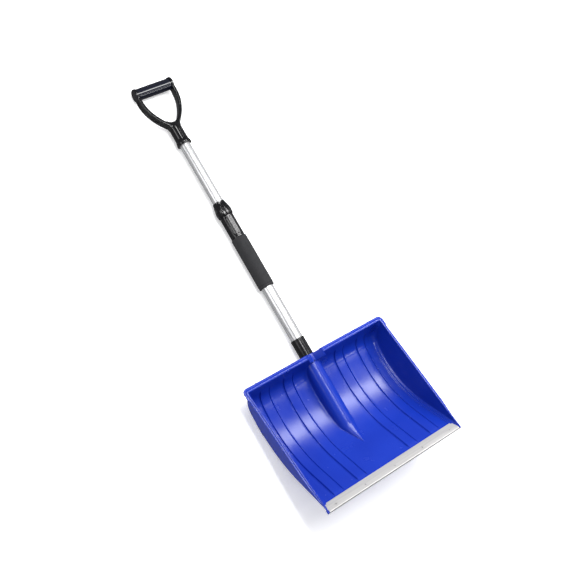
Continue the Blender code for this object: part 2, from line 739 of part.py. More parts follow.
def build_lower_handle(finishes):
    """The lower tube with its plug, ferrule, foam grip and socket screws."""
    base = LOWER_TUBE_BASE
    tube_shape = sleeve(LOWER_BORE, LOWER_TUBE_RADIUS, base, LOWER_TUBE_TOP)
    tube = make_object("lower_tube", tube_shape, base, finishes["aluminium"])
    plug_top = base + PLUG_LENGTH
    plug_radius = LOWER_BORE - GAP
    plug_profile = [
        (0, base),
        (plug_radius, base),
        (plug_radius, plug_top - PLUG_BEVEL),
        (plug_radius - PLUG_BEVEL, plug_top),
        (0, plug_top),
    ]
    plug = make_object("tube_plug", turned(plug_profile), base, finishes["black_plastic"])
    inner = LOWER_TUBE_RADIUS + GAP
    outer = inner + FERRULE_WALL
    ferrule_profile = [
        (inner, HANDLE_END),
        (outer, HANDLE_END),
        (outer, FERRULE_TOP - FERRULE_LIP),
        (outer - FERRULE_LIP * 0.6, FERRULE_TOP),
        (inner, FERRULE_TOP),
    ]
    ferrule = make_object("ferrule", turned(ferrule_profile), HANDLE_END, finishes["black_plastic"])
    face = SOCKET_RADIUS - GAP
    tip = plug_radius - SCREW_BITE
    screw_profile = [
        (0, tip),
        (SCREW_SHANK_RADIUS * 0.6, tip),
        (SCREW_SHANK_RADIUS, tip + SCREW_POINT),
        (SCREW_SHANK_RADIUS, face - SCREW_HEAD_HEIGHT),
        (SCREW_HEAD_RADIUS, face - SCREW_HEAD_EDGE),
        (SCREW_HEAD_RADIUS, face),
        (0, face),
    ]
    for number, station in enumerate(SOCKET_SCREW_STATIONS, 1):
        for piece in (tube, ferrule, plug):
            combine(piece, "DIFFERENCE", f"screw_hole_{number}", plain_hole(station, tip - GAP))
        screw = turned(screw_profile, SMALL_SEGMENTS, below(station))
        smooth(make_object(f"socket_screw_{number}", screw, station, finishes["steel"]))
    foam = make_object("foam_grip", turned(foam_profile()), FOAM_BOTTOM, finishes["foam"])
    for piece in (tube, plug, ferrule, foam):
        smooth(piece)


def foam_profile():
    """The foam grip's section, with rounded ends and a ring groove near its lower end."""
    inner = LOWER_TUBE_RADIUS + GAP
    outer = FOAM_RADIUS
    edge = FOAM_EDGE_RADIUS
    ring = FOAM_BOTTOM + FOAM_RING_SETBACK
    half = FOAM_RING_DEPTH
    return [
        (inner, FOAM_BOTTOM),
        (outer - edge, FOAM_BOTTOM),
        (outer, FOAM_BOTTOM + edge),
        (outer, ring - half),
        (outer - FOAM_RING_DEPTH, ring),
        (outer, ring + half),
        (outer, FOAM_TOP - edge),
        (outer - edge, FOAM_TOP),
        (inner, FOAM_TOP),
    ]


def build_twist_lock(finishes, nut_axis):
    """The clamp body on the lower tube, the split collet and the nut that squeezes it."""
    low = FOAM_TOP + GAP
    shoulder = NUT_BOTTOM - GAP
    neck_top = NUT_BOTTOM + NECK_LENGTH
    seat = LOWER_TUBE_TOP + GAP
    land = FLUTE_LAND

    def fluted(radius, station, angle):
        if radius < BODY_RADIUS - 1e-6 or not low + land < station < shoulder - land:
            return radius
        return radius - FLUTE_DEPTH * (0.5 + 0.5 * math.cos(angle * BODY_FLUTES))

    profile = [
        (BODY_BORE, low),
        (BODY_RADIUS - BODY_BEVEL, low),
        (BODY_RADIUS, low + land * 0.5),
        (BODY_RADIUS, low + land * 1.4),
        (BODY_RADIUS, shoulder - land * 1.4),
        (BODY_RADIUS, shoulder - land * 0.5),
        (BODY_RADIUS, neck_top - NECK_BEVEL),
        (BODY_RADIUS - NECK_BEVEL, neck_top),
        (BODY_BORE, neck_top),
        (BODY_BORE, seat),
    ]
    body_shape = turned(profile, TURN_SEGMENTS, radius_at=fluted)
    body = make_object("clamp_body", body_shape, low, finishes["black_plastic"])
    add_clamp_rivet(body, finishes)

    collet_top = seat + COLLET_LENGTH
    outer = TUBE_PASS + COLLET_WALL
    collet_profile = [
        (TUBE_PASS, seat),
        (outer, seat),
        (outer, neck_top),
        (TUBE_PASS + COLLET_WALL * 0.6, collet_top),
        (TUBE_PASS, collet_top),
    ]
    collet = make_object("collet", turned(collet_profile), seat, finishes["white_plastic"])
    slot_outline = [
        (seat - OVER, UPPER_TUBE_RADIUS / 2),
        (collet_top + OVER, UPPER_TUBE_RADIUS / 2),
        (collet_top + OVER, UPPER_TUBE_RADIUS + OVER),
        (seat - OVER, UPPER_TUBE_RADIUS + OVER),
    ]
    combine(collet, "DIFFERENCE", "slot", across(slot_outline, -COLLET_SLOT / 2, COLLET_SLOT / 2))

    nut = make_object("lock_nut", lock_nut_shape(), NUT_BOTTOM, finishes["black_plastic"], nut_axis)
    for piece in (body, collet, nut):
        smooth(piece)


def add_clamp_rivet(body, finishes):
    """The rivet that holds the clamp body on the lower tube, and its holes."""
    station = BODY_RIVET_STATION
    tube = bpy.data.objects["lower_tube"]
    for piece in (tube, body):
        combine(piece, "DIFFERENCE", "rivet_hole", plain_hole(station, LOWER_BORE * 0.6))
    foot = BODY_RADIUS + GAP
    end = LOWER_BORE + GAP
    shape = [
        (0, end),
        (SCREW_SHANK_RADIUS, end),
        (SCREW_SHANK_RADIUS, foot),
        (SCREW_HEAD_RADIUS * 0.9, foot),
        (SCREW_HEAD_RADIUS * 0.6, foot + DOME_HEIGHT * 0.85),
        (0, foot + DOME_HEIGHT),
    ]
    rivet = turned(shape, SMALL_SEGMENTS, below(station))
    smooth(make_object("clamp_rivet", rivet, station, finishes["aluminium"]))


def lock_nut_shape():
    """The lobed nut: a flared outside with finger grooves, and a threaded bore that ends in a cone."""
    top_radius = TUBE_PASS + NUT_TOP_WALL
    phase = math.radians(NUT_TURN)
    cone_low = NUT_TOP - NUT_LAND - NUT_CONE_LENGTH
    shape = [
        (0.0, 0.945),
        (0.10, 0.985),
        (0.25, 1.0),
        (0.45, 0.965),
        (0.62, 0.895),
        (0.80, 0.81),
        (0.93, 0.755),
    ]
    profile = [(NUT_BORE, NUT_BOTTOM)]
    for share, size in shape:
        profile.append((max(NUT_RADIUS * size, top_radius), NUT_BOTTOM + share * NUT_LENGTH))
    profile += [
        (top_radius, NUT_TOP),
        (TUBE_PASS, NUT_TOP),
        (TUBE_PASS, NUT_TOP - NUT_LAND),
        (NUT_BORE, cone_low),
    ]

    def lobed(radius, station, angle):
        share = (station - NUT_BOTTOM) / NUT_LENGTH
        if radius <= NUT_BORE + 1e-6 or share > 0.9:
            return radius
        groove = max(0.0, math.cos((angle - phase) * NUT_LOBES)) ** 3
        return radius - NUT_GROOVE_DEPTH * groove * min(1.0, (0.93 - share) * 4)

    return turned(profile, NUT_SEGMENTS, radius_at=lobed)


# ---- Upper handle and D-grip -------------------------------------------------------------------


def build_upper_handle(finishes, slide_axis, turn_axis):
    """The guide bush, which only slides, and the upper tube, which also turns."""
    bush_low = UPPER_TUBE_BOTTOM - GAP - BUSH_HEAD_LENGTH
    head = LOWER_BORE - SLIDE_CLEARANCE
    spigot = UPPER_BORE - SLIDE_CLEARANCE
    neck = UPPER_TUBE_BOTTOM - GAP
    profile = [
        (BUSH_BORE_RADIUS, bush_low),
        (head - BUSH_BEVEL, bush_low),
        (head, bush_low + BUSH_BEVEL),
        (head, neck),
        (spigot, neck),
        (spigot, neck + BUSH_SPIGOT_LENGTH - BUSH_BEVEL),
        (spigot - BUSH_BEVEL, neck + BUSH_SPIGOT_LENGTH),
        (BUSH_BORE_RADIUS, neck + BUSH_SPIGOT_LENGTH),
    ]
    bush = make_object("guide_bush", turned(profile), bush_low, finishes["white_plastic"], slide_axis)
    low = UPPER_TUBE_BOTTOM
    tube_shape = sleeve(UPPER_BORE, UPPER_TUBE_RADIUS, low, UPPER_TUBE_TOP)
    tube = make_object("upper_tube", tube_shape, low, finishes["aluminium"], turn_axis)
    for piece in (bush, tube):
        smooth(piece)
    return tube


def arm_curve():
    """Points down the middle of a D-grip arm, as (x, s), from its boss to the neck."""
    top = Vector((BOSS_OUTER - ARM_INSET - ARM_THICKNESS / 2, BAR_STATION - BOSS_RADIUS / 2))
    knee = Vector((top.x + ARM_BOW, BAR_STATION - ARM_KNEE))
    hip = Vector((NECK_RADIUS * 2.2, GRIP_CROTCH + ARM_HIP))
    root = Vector((NECK_RADIUS * 0.45, GRIP_CROTCH - ARM_ROOT))
    points = []
    for i in range(ARM_STEPS + 1):
        t = i / ARM_STEPS
        u = 1 - t
        points.append(u**3 * top + 3 * u * u * t * knee + 3 * u * t * t * hip + t**3 * root)
    return points


def arm_section():
    """An arm's section as (outwards, up): a web with a channel on its outer side."""
    thick = ARM_THICKNESS / 2
    deep = ARM_DEPTH / 2
    web = thick - ARM_CHANNEL
    lip = deep - ARM_FLANGE
    return [
        (-thick, -deep + ARM_BEVEL),
        (-thick + ARM_BEVEL, -deep),
        (thick, -deep),
        (thick, -lip),
        (web, -lip + ARM_BEVEL),
        (web, lip - ARM_BEVEL),
        (thick, lip),
        (thick, deep),
        (-thick + ARM_BEVEL, deep),
        (-thick, deep - ARM_BEVEL),
    ]


def arm_shape(side):
    """One bowed arm of the D-grip."""
    path = arm_curve()
    rings = []
    for i, spot in enumerate(path):
        before = path[max(i - 1, 0)]
        after = path[min(i + 1, len(path) - 1)]
        run = (after - before).normalized()
        out = Vector((-run.y, run.x))
        rings.append([(side * (spot.x + a * out.x), spot.y + a * out.y, up) for a, up in arm_section()])
    return lofted(rings)


def build_grip(finishes, tube, turn_axis):
    """The D-grip: a moulded frame, and a sleeve bolted between its bosses under two end caps."""
    crown = GRIP_CROTCH
    collar_top = GRIP_BOTTOM + NECK_COLLAR_LENGTH
    flare = NECK_RADIUS + NECK_COLLAR_FLARE
    profile = [
        (0, GRIP_BOTTOM),
        (flare, GRIP_BOTTOM),
        (flare, GRIP_BOTTOM + 0.0025),
        (NECK_RADIUS + NECK_COLLAR_FLARE * 0.35, GRIP_BOTTOM + NECK_COLLAR_LENGTH * 0.5),
        (NECK_RADIUS, collar_top),
        (NECK_RADIUS, crown - 0.012),
        (NECK_RADIUS * 0.82, crown - 0.004),
        (NECK_RADIUS * 0.45, crown - 0.0008),
        (0, crown),
    ]
    frame = make_object("grip_frame", turned(profile), GRIP_BOTTOM, finishes["gloss_black"], turn_axis)
    bar_place = sideways(BAR_STATION)
    for side in (-1, 1):
        label = "left" if side < 0 else "right"
        combine(frame, "UNION", f"arm_{label}", arm_shape(side))
        ends = sorted((side * BOSS_OUTER, side * (BOSS_OUTER - BOSS_THICKNESS - BOSS_TRIM)))
        combine(frame, "UNION", f"boss_{label}", cylinder(BOSS_RADIUS, *ends, bar_place, BOSS_SEGMENTS))
    for side in (-1, 1):
        label = "left" if side < 0 else "right"
        inner = side * (BAR_LENGTH / 2 + GAP)
        clear = sorted((inner, inner - side * OVER))
        trim = cylinder(BOSS_RADIUS * 1.4, *clear, bar_place, BOSS_SEGMENTS)
        combine(frame, "DIFFERENCE", f"bar_end_{label}", trim)
        combine(frame, "DIFFERENCE", f"cap_recess_{label}", cap_recess(side, bar_place))
    bore = cylinder(NECK_BORE, GRIP_BOTTOM - OVER, UPPER_TUBE_TOP + GAP)
    combine(frame, "DIFFERENCE", "tube_bore", bore)
    smooth(frame)
    build_bar(finishes, bar_place, turn_axis)
    add_grip_screw(frame, tube, finishes, turn_axis)


def cap_recess(side, place):
    """The stepped recess in a boss: wide for the end cap, then for the bolt's end, then its shank."""
    face = BOSS_OUTER
    shelf = face - CAP_RECESS
    floor = shelf - BOLT_HEAD_THICKNESS - 2 * GAP
    inside = BAR_LENGTH / 2 - OVER
    steps = [
        (0, face + OVER),
        (CAP_RADIUS + GAP, face + OVER),
        (CAP_RADIUS + GAP, shelf),
        (BOLT_HEAD_RADIUS + 2 * GAP, shelf),
        (BOLT_HEAD_RADIUS + 2 * GAP, floor),
        (BAR_BOLT_RADIUS + GAP, floor),
        (BAR_BOLT_RADIUS + GAP, inside),
        (0, inside),
    ]
    return turned([(radius, side * x) for radius, x in steps], CAP_SEGMENTS, place)


def build_bar(finishes, place, turn_axis):
    """The crossbar sleeve, the bolt through it with its nut, and the two end caps."""
    half = BAR_LENGTH / 2
    bevel = BAR_BEVEL
    profile = [
        (BAR_BORE_RADIUS, -half),
        (BAR_RADIUS - bevel, -half),
        (BAR_RADIUS, -half + bevel),
        (BAR_RADIUS, half - bevel),
        (BAR_RADIUS - bevel, half),
        (BAR_BORE_RADIUS, half),
    ]
    sleeve_shape = turned(profile, TURN_SEGMENTS, place)
    pieces = [make_object("grip_bar", sleeve_shape, BAR_STATION, finishes["bar_black"], turn_axis)]
    face = BOSS_OUTER - CAP_RECESS - GAP
    shank_end = face - BOLT_HEAD_THICKNESS
    bolt = [
        (0, -face),
        (BOLT_HEAD_RADIUS, -face),
        (BOLT_HEAD_RADIUS, -shank_end),
        (BAR_BOLT_RADIUS, -shank_end),
        (BAR_BOLT_RADIUS, face - GAP),
        (0, face - GAP),
    ]
    bolt_shape = turned(bolt, SMALL_SEGMENTS, place)
    pieces.append(make_object("bar_bolt", bolt_shape, BAR_STATION, finishes["steel"], turn_axis))
    nut_bore = BAR_BOLT_RADIUS + GAP

    def hexagon(radius, station, angle):
        if radius <= nut_bore:
            return radius
        return radius * math.cos(math.pi / 6) / math.cos(angle % (math.pi / 3) - math.pi / 6)

    nut = [(nut_bore, shank_end), (BOLT_HEAD_RADIUS, shank_end), (BOLT_HEAD_RADIUS, face), (nut_bore, face)]
    nut_shape = turned(nut, CAP_SEGMENTS, place, hexagon)
    pieces.append(make_object("bar_nut", nut_shape, BAR_STATION, finishes["steel"], turn_axis))
    for side, label in ((-1, "left"), (1, "right")):
        inner = BOSS_OUTER - CAP_THICKNESS
        cap = [
            (0, inner),
            (CAP_RADIUS, inner),
            (CAP_RADIUS, BOSS_OUTER - CAP_BEVEL),
            (CAP_RADIUS - CAP_BEVEL, BOSS_OUTER),
            (0, BOSS_OUTER),
        ]
        shape = turned([(radius, side * x) for radius, x in cap], CAP_SEGMENTS, place)
        name = f"end_cap_{label}"
        pieces.append(make_object(name, shape, BAR_STATION, finishes["black_plastic"], turn_axis))
    for piece in pieces:
        smooth(piece)


def add_grip_screw(frame, tube, finishes, turn_axis):
    """The screw that holds the D-grip on the upper tube, and its holes."""
    station = GRIP_SCREW_STATION
    for piece in (frame, tube):
        combine(piece, "DIFFERENCE", "screw_hole", plain_hole(station, UPPER_BORE * 0.6))
    foot = NECK_RADIUS + GAP
    tip = UPPER_BORE - 2 * SCREW_POINT
    shape = [
        (0, tip),
        (SCREW_SHANK_RADIUS * 0.6, tip),
        (SCREW_SHANK_RADIUS, tip + SCREW_POINT),
        (SCREW_SHANK_RADIUS, foot),
        (SCREW_HEAD_RADIUS, foot),
        (SCREW_HEAD_RADIUS * 0.9, foot + PAN_HEIGHT * 0.6),
        (0, foot + PAN_HEIGHT),
    ]
    screw = turned(shape, SMALL_SEGMENTS, below(station))
    smooth(make_object("grip_screw", screw, station, finishes["steel"], turn_axis))


def main():
    """Build every piece of the shovel, at rest."""
    clear_scene()
    blue = material("blue_plastic", (0.015, 0.045, 0.48), 0.22)
    strip_metal = material("strip_metal", (0.72, 0.72, 0.74), 0.35, 1.0)
    finishes = {
        "aluminium": material("tube_aluminium", (0.80, 0.80, 0.82), 0.25, 1.0),
        "black_plastic": material("black_plastic", (0.012, 0.012, 0.013), 0.28),
        "gloss_black": material("gloss_black_plastic", (0.008, 0.008, 0.009), 0.14),
        "bar_black": material("bar_black_plastic", (0.010, 0.011, 0.018), 0.20),
        "white_plastic": material("white_plastic", (0.70, 0.70, 0.68), 0.45),
        "foam": material("foam_rubber", (0.030, 0.030, 0.032), 0.85),
        "steel": material("screw_steel", (0.55, 0.55, 0.56), 0.35, 1.0),
    }
    nut_axis = axis_empty("lock_nut_axis", NUT_BOTTOM)
    slide_axis = axis_empty("handle_slide_axis", LOWER_TUBE_TOP)
    turn_axis = axis_empty("handle_turn_axis", LOWER_TUBE_TOP)
    build_scoop(blue)
    build_strip(strip_metal, finishes["aluminium"])
    build_lower_handle(finishes)
    build_twist_lock(finishes, nut_axis)
    tube = build_upper_handle(finishes, slide_axis, turn_axis)
    build_grip(finishes, tube, turn_axis)


main()
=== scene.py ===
"""A snow shovel: a deep blue scoop with a metal wear strip, on a telescopic handle with a D-grip."""

import logging
import math
from dataclasses import dataclass, field
from enum import Enum
from typing import Callable, Iterable, Optional, Sequence

import bmesh
import bpy
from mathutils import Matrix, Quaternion, Vector, noise


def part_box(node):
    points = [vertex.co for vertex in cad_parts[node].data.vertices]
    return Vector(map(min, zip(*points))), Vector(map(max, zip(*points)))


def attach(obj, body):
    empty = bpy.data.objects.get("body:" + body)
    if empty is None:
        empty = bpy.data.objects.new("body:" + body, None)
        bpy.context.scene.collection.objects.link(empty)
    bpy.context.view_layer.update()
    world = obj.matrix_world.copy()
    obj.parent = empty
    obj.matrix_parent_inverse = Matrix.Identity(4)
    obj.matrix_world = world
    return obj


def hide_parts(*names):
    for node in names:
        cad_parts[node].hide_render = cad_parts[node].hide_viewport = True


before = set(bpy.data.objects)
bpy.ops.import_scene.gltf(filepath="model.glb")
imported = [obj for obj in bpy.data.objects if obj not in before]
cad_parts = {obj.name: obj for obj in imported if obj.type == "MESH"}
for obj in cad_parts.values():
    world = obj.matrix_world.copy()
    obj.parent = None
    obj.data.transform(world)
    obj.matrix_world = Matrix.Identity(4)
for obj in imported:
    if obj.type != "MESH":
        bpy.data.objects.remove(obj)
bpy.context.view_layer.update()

log = logging.getLogger("snow_shovel")

Pair = tuple[float, float]
Triple = tuple[float, float, float]
Colour = tuple[float, float, float]
Piece = bpy.types.Object
Socket = bpy.types.NodeSocket
Material = bpy.types.Material


class Side(Enum):
    """Which side of the handle a piece is on, as seen by the person who holds the grip."""

    LEFT = -1
    RIGHT = 1


class Body(Enum):
    """The parts of the shovel that move against each other."""

    SHOVEL = "shovel"
    NUT = "lock_nut"
    SLIDER = "slider"
    UPPER = "upper"


class Slot(Enum):
    """The finishes, by the name of the slot that each one fills."""

    BLUE = "blue_plastic"
    BLACK = "black_plastic"
    GLOSS_BLACK = "gloss_black_plastic"
    BAR_BLACK = "bar_black_plastic"
    WHITE = "white_plastic"
    TUBE = "tube_aluminium"
    STRIP = "strip_metal"
    STEEL = "screw_steel"
    FOAM = "foam_rubber"


# ---- Places and sizes shared by several pieces ---------------------------------------------------

TUBE_FACETS, BOSS_FACETS, SOCKET_FACETS, FLUTED_FACETS, LOBED_FACETS = 128, 96, 80, 200, 320
BOWL_CREASE, GRIP_CREASE = 62.0, 40.0
WELD_PASSES, EASING_PASSES = 3, 90
FORK_REACH = 0.034
SHARP_EDGE = 35


@dataclass(frozen=True)
class CentreLine:
    """The handle's centre line, from which every piece is measured."""

    middle: float
    height: float

    def point(self, x: float, station: float, above: float) -> Vector:
        """Turn a place on the shovel into a place in the room.

        Args:
            x: Distance to the right of the centre line.
            station: Distance behind the scoop's front edge.
            above: Height above the centre line.

        Returns:
            The same place in the frame's coordinates.
        """
        return Vector((x, station - self.middle, above + self.height))


def find_centre_line(toe_reach: float, wall: float, ramp: float) -> CentreLine:
    """Find the handle's centre line from the frame.

    Args:
        toe_reach: How far the side walls run past the scoop's front edge.
        wall: The scoop's wall thickness.
        ramp: Slope of the floor at its front edge, in radians.

    Returns:
        The centre line.
    """
    low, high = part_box("lower_tube")
    front = toe_reach * math.cos(ramp) + wall * math.sin(ramp)
    return CentreLine(middle=-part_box("scoop")[0].y - front, height=(low.z + high.z) / 2)


def smoothstep(value: float) -> float:
    """Ease from 0 to 1 as value goes from 0 to 1."""
    value = min(max(value, 0.0), 1.0)
    return value * value * (3.0 - 2.0 * value)


def between(start: float, end: float, share: float) -> float:
    """The value a share of the way from start to end."""
    return start + (end - start) * share


def spaced(start: float, end: float, step: float) -> list[float]:
    """Evenly spaced values from start up to, but not including, end."""
    count = max(1, round((end - start) / step))
    return [start + (end - start) * i / count for i in range(count)]


def read_curve(curve: Sequence[Pair], value: float) -> float:
    """Read a curve made of straight pieces.

    Args:
        curve: Points on the curve, in order.
        value: Where to read it.

    Returns:
        The curve's value there, held constant past its ends.
    """
    if value <= curve[0][0]:
        return curve[0][1]
    for (a, low), (b, high) in zip(curve, curve[1:]):
        if value <= b:
            return between(low, high, (value - a) / (b - a))
    return curve[-1][1]


def rounded(corners: Sequence[Triple], steps: int = 4) -> list[Pair]:
    """Round the corners of a closed outline.

    Args:
        corners: Each corner's place and the radius it is rounded with.
        steps: Facets in each rounded corner.

    Returns:
        The points of the rounded outline.
    """
    points: list[Pair] = []
    for i, (a, b, radius) in enumerate(corners):
        corner = Vector((a, b))
        if radius <= 0:
            points.append((a, b))
            continue
        ways = []
        for other in (corners[i - 1], corners[(i + 1) % len(corners)]):
            way = Vector(other[:2]) - corner
            ways.append(way.normalized() * min(radius, way.length * 0.48))
        for step in range(steps + 1):
            t = step / steps
            spot = corner + ways[0] * (1 - t) ** 2 + ways[1] * t**2
            points.append((spot.x, spot.y))
    return points


# ---- Meshes --------------------------------------------------------------------------------------


class Shell:
    """A mesh that is being put together, in (x, station, height above the centre line)."""

    def __init__(self) -> None:
        """Start an empty mesh."""
        self.points: list[Triple] = []
        self.faces: list[tuple[int, ...]] = []

    def add_row(self, points: Iterable[Triple]) -> list[int]:
        """Add points to the mesh.

        Args:
            points: The points' places.

        Returns:
            The new points' numbers.
        """
        start = len(self.points)
        self.points.extend(tuple(point) for point in points)
        return list(range(start, len(self.points)))

    def join_rows(self, rows: Sequence[Sequence[int]], closed: bool = False) -> None:
        """Fill the space between rows of equally many points with four-sided faces.

        Args:
            rows: Point numbers, row by row.
            closed: Whether each row's last point joins its first.
        """
        for low, high in zip(rows, rows[1:]):
            count = len(low)
            for i in range(count if closed else count - 1):
                j = (i + 1) % count
                self.faces.append((low[i], low[j], high[j], high[i]))

    def loft(self, rings: Sequence[Sequence[Triple]]) -> None:
        """Add a closed solid through rings of points, capped at both ends.

        Args:
            rings: Rings of equally many points.
        """
        rows = [self.add_row(ring) for ring in rings]
        self.join_rows(rows, closed=True)
        self.faces.append(tuple(reversed(rows[0])))
        self.faces.append(tuple(rows[-1]))

    def turn(
        self,
        profile: Sequence[Pair],
        segments: int = 96,
        place: Optional[Callable[[float, float, float], Triple]] = None,
        radius_at: Optional[Callable[[float, float, float], float]] = None,
    ) -> None:
        """Add a solid turned from a closed profile.

        Args:
            profile: Points of (radius, distance along the axis).
            segments: Facets round the axis.
            place: Maps (sideways, up, along) away from the handle's axis to another one.
            radius_at: Changes a radius, given (radius, along, angle).
        """
        rows = []
        for radius, along in profile:
            row = []
            for i in range(segments):
                angle = math.tau * i / segments
                size = radius_at(radius, along, angle) if radius_at else radius
                u, v = size * math.sin(angle), size * math.cos(angle)
                row.append(place(u, v, along) if place else (u, along, v))
            rows.append(self.add_row(row))
        self.join_rows(rows + rows[:1], closed=True)

    def finish(self, name: str, line: CentreLine, crease: float = 32.0) -> Piece:
        """Make the object.

        Args:
            name: The piece's name.
            line: The handle's centre line.
            crease: Edges that turn by more than this many degrees stay sharp.

        Returns:
            The new object, in place.
        """
        mesh = bpy.data.meshes.new(name)
        mesh.from_pydata([line.point(*point) for point in self.points], [], self.faces)
        work = bmesh.new()
        work.from_mesh(mesh)
        bmesh.ops.remove_doubles(work, verts=work.verts, dist=2e-6)
        bmesh.ops.dissolve_degenerate(work, edges=work.edges, dist=1e-6)
        bmesh.ops.recalc_face_normals(work, faces=work.faces)
        work.to_mesh(mesh)
        work.free()
        made = bpy.data.objects.new(name, mesh)
        bpy.context.scene.collection.objects.link(made)
        shade(made, crease)
        return made


def shade(piece: Piece, crease: float) -> None:
    """Shade a piece smoothly, apart from edges that turn by more than crease degrees."""
    piece.data.shade_smooth()
    piece.data.set_sharp_from_angle(angle=math.radians(crease))


def settle(piece: Piece) -> None:
    """Turn modifiers into plain mesh.

    Args:
        piece: The piece that has the modifiers.
    """
    evaluated = piece.evaluated_get(bpy.context.evaluated_depsgraph_get())
    mesh = bpy.data.meshes.new_from_object(evaluated)
    piece.modifiers.clear()
    piece.data = mesh


def cut(piece: Piece, tool: Piece) -> None:
    """Cut one solid out of another.

    Args:
        piece: The solid that is cut.
        tool: The solid that is cut out of it, which is then removed.
    """
    change = piece.modifiers.new("cut", "BOOLEAN")
    change.operation = "DIFFERENCE"
    change.solver = "EXACT"
    change.object = tool
    settle(piece)
    bpy.data.objects.remove(tool)


def soften(piece: Piece, passes: int, group: str = "") -> None:
    """Smooth a piece's surface.

    Args:
        piece: The piece.
        passes: How often it is smoothed.
        group: Name of the vertex group that weighs the smoothing, if not all over.
    """
    smooth = piece.modifiers.new("soften", "SMOOTH")
    smooth.factor = 0.5
    smooth.iterations = passes
    smooth.vertex_group = group
    settle(piece)


def weld(piece: Piece, voxel: float, passes: int) -> None:
    """Melt overlapping solids into one skin with softened joins.

    Args:
        piece: The overlapping solids, as one object.
        voxel: Size of the finest detail that is kept.
        passes: How often the skin is smoothed.
    """
    melt = piece.modifiers.new("melt", "REMESH")
    melt.mode = "VOXEL"
    melt.voxel_size = voxel
    soften(piece, passes)
    piece.data.shade_smooth()


def ease(piece: Piece, centre: Vector, reach: float) -> None:
    """Smooth a piece near a point, most at the point.

    Args:
        piece: The piece.
        centre: The point.
        reach: Distance from it at which nothing changes.
    """
    group = piece.vertex_groups.new(name="eased")
    for vertex in piece.data.vertices:
        near = smoothstep(2.0 * (1.0 - (vertex.co - centre).length / reach))
        if near > 0:
            group.add([vertex.index], near, "REPLACE")
    soften(piece, EASING_PASSES, group.name)


def bevel(piece: Piece, width: float, segments: int = 2) -> None:
    """Soften a piece's sharp edges.

    Args:
        piece: The piece.
        width: Width of the softened edge.
        segments: Facets across it.
    """
    change = piece.modifiers.new("soft_edges", "BEVEL")
    change.width = width
    change.segments = segments
    change.limit_method = "ANGLE"
    change.angle_limit = math.radians(SHARP_EDGE)
    change.harden_normals = True


# ---- Finishes ------------------------------------------------------------------------------------


class NodePainter:
    """Lays out the nodes of one material."""

    middle_range: Pair = (0.3, 0.7)

    def __init__(self, name: str) -> None:
        """Start a material with a plain shader.

        Args:
            name: The material's name.
        """
        self.material = bpy.data.materials.new(name)
        self.material.use_nodes = True
        self.tree = self.material.node_tree
        self.shader = self.tree.nodes["Principled BSDF"]
        self.position = self.tree.nodes.new("ShaderNodeTexCoord").outputs["Object"]

    def node(self, kind: str, feeds: dict[str, Socket], **values: float) -> bpy.types.Node:
        """Add a node.

        Args:
            kind: The node's type.
            feeds: What is linked to its inputs, by input name.
            values: Plain values of its inputs, by input name with _ for a space.

        Returns:
            The node.
        """
        node = self.tree.nodes.new(kind)
        for name, value in values.items():
            node.inputs[name.replace("_", " ")].default_value = value
        for name, source in feeds.items():
            self.tree.links.new(source, node.inputs[name])
        return node

    def grain(self, scale: float, detail: float = 4.0, stretch: Triple = (1, 1, 1)) -> Socket:
        """A noise pattern over the piece.

        Args:
            scale: Patches in a metre.
            detail: Layers of finer noise.
            stretch: Scale along each axis.

        Returns:
            The noise's strength.
        """
        mapping = self.node("ShaderNodeMapping", {"Vector": self.position}, Scale=stretch)
        place = {"Vector": mapping.outputs["Vector"]}
        return self.node("ShaderNodeTexNoise", place, Scale=scale, Detail=detail).outputs["Fac"]

    def cells(self, scale: float) -> Socket:
        """A pattern of round cells, this many in a metre."""
        return self.node("ShaderNodeTexVoronoi", {"Vector": self.position}, Scale=scale).outputs["Distance"]

    def tint(self, source: Socket, low: Colour, high: Colour) -> None:
        """Colour the piece between two tones.

        Args:
            source: The pattern.
            low: Colour where the pattern is weak.
            high: Colour where it is strong.
        """
        ramp = self.node("ShaderNodeValToRGB", {"Fac": source})
        for element, place, colour in zip(ramp.color_ramp.elements, self.middle_range, (low, high)):
            element.position = place
            element.color = (*colour, 1)
        self.tree.links.new(ramp.outputs["Color"], self.shader.inputs["Base Color"])

    def bump(self, source: Socket, depth: float, after: Optional[Socket] = None) -> Socket:
        """Raise the surface by a pattern.

        Args:
            source: The pattern.
            depth: Height of the relief, in metres.
            after: The surface direction from another relief under this one.

        Returns:
            The surface direction.
        """
        feeds = {"Height": source}
        if after:
            feeds["Normal"] = after
        direction = self.node("ShaderNodeBump", feeds, Strength=1.0, Distance=depth).outputs["Normal"]
        self.tree.links.new(direction, self.shader.inputs["Normal"])
        return direction

    def vary_roughness(self, source: Socket, low: float, high: float) -> None:
        """Let the gloss change over the piece.

        Args:
            source: The pattern.
            low: Roughness where the pattern is weak.
            high: Roughness where it is strong.
        """
        start, end = self.middle_range
        values = {"From_Min": start, "From_Max": end, "To_Min": low, "To_Max": high}
        spread = self.node("ShaderNodeMapRange", {"Value": source}, **values)
        self.tree.links.new(spread.outputs["Result"], self.shader.inputs["Roughness"])

    def set(self, **values: float) -> None:
        """Set plain values on the shader, by the input's name with _ for a space."""
        for name, value in values.items():
            self.shader.inputs[name.replace("_", " ")].default_value = value


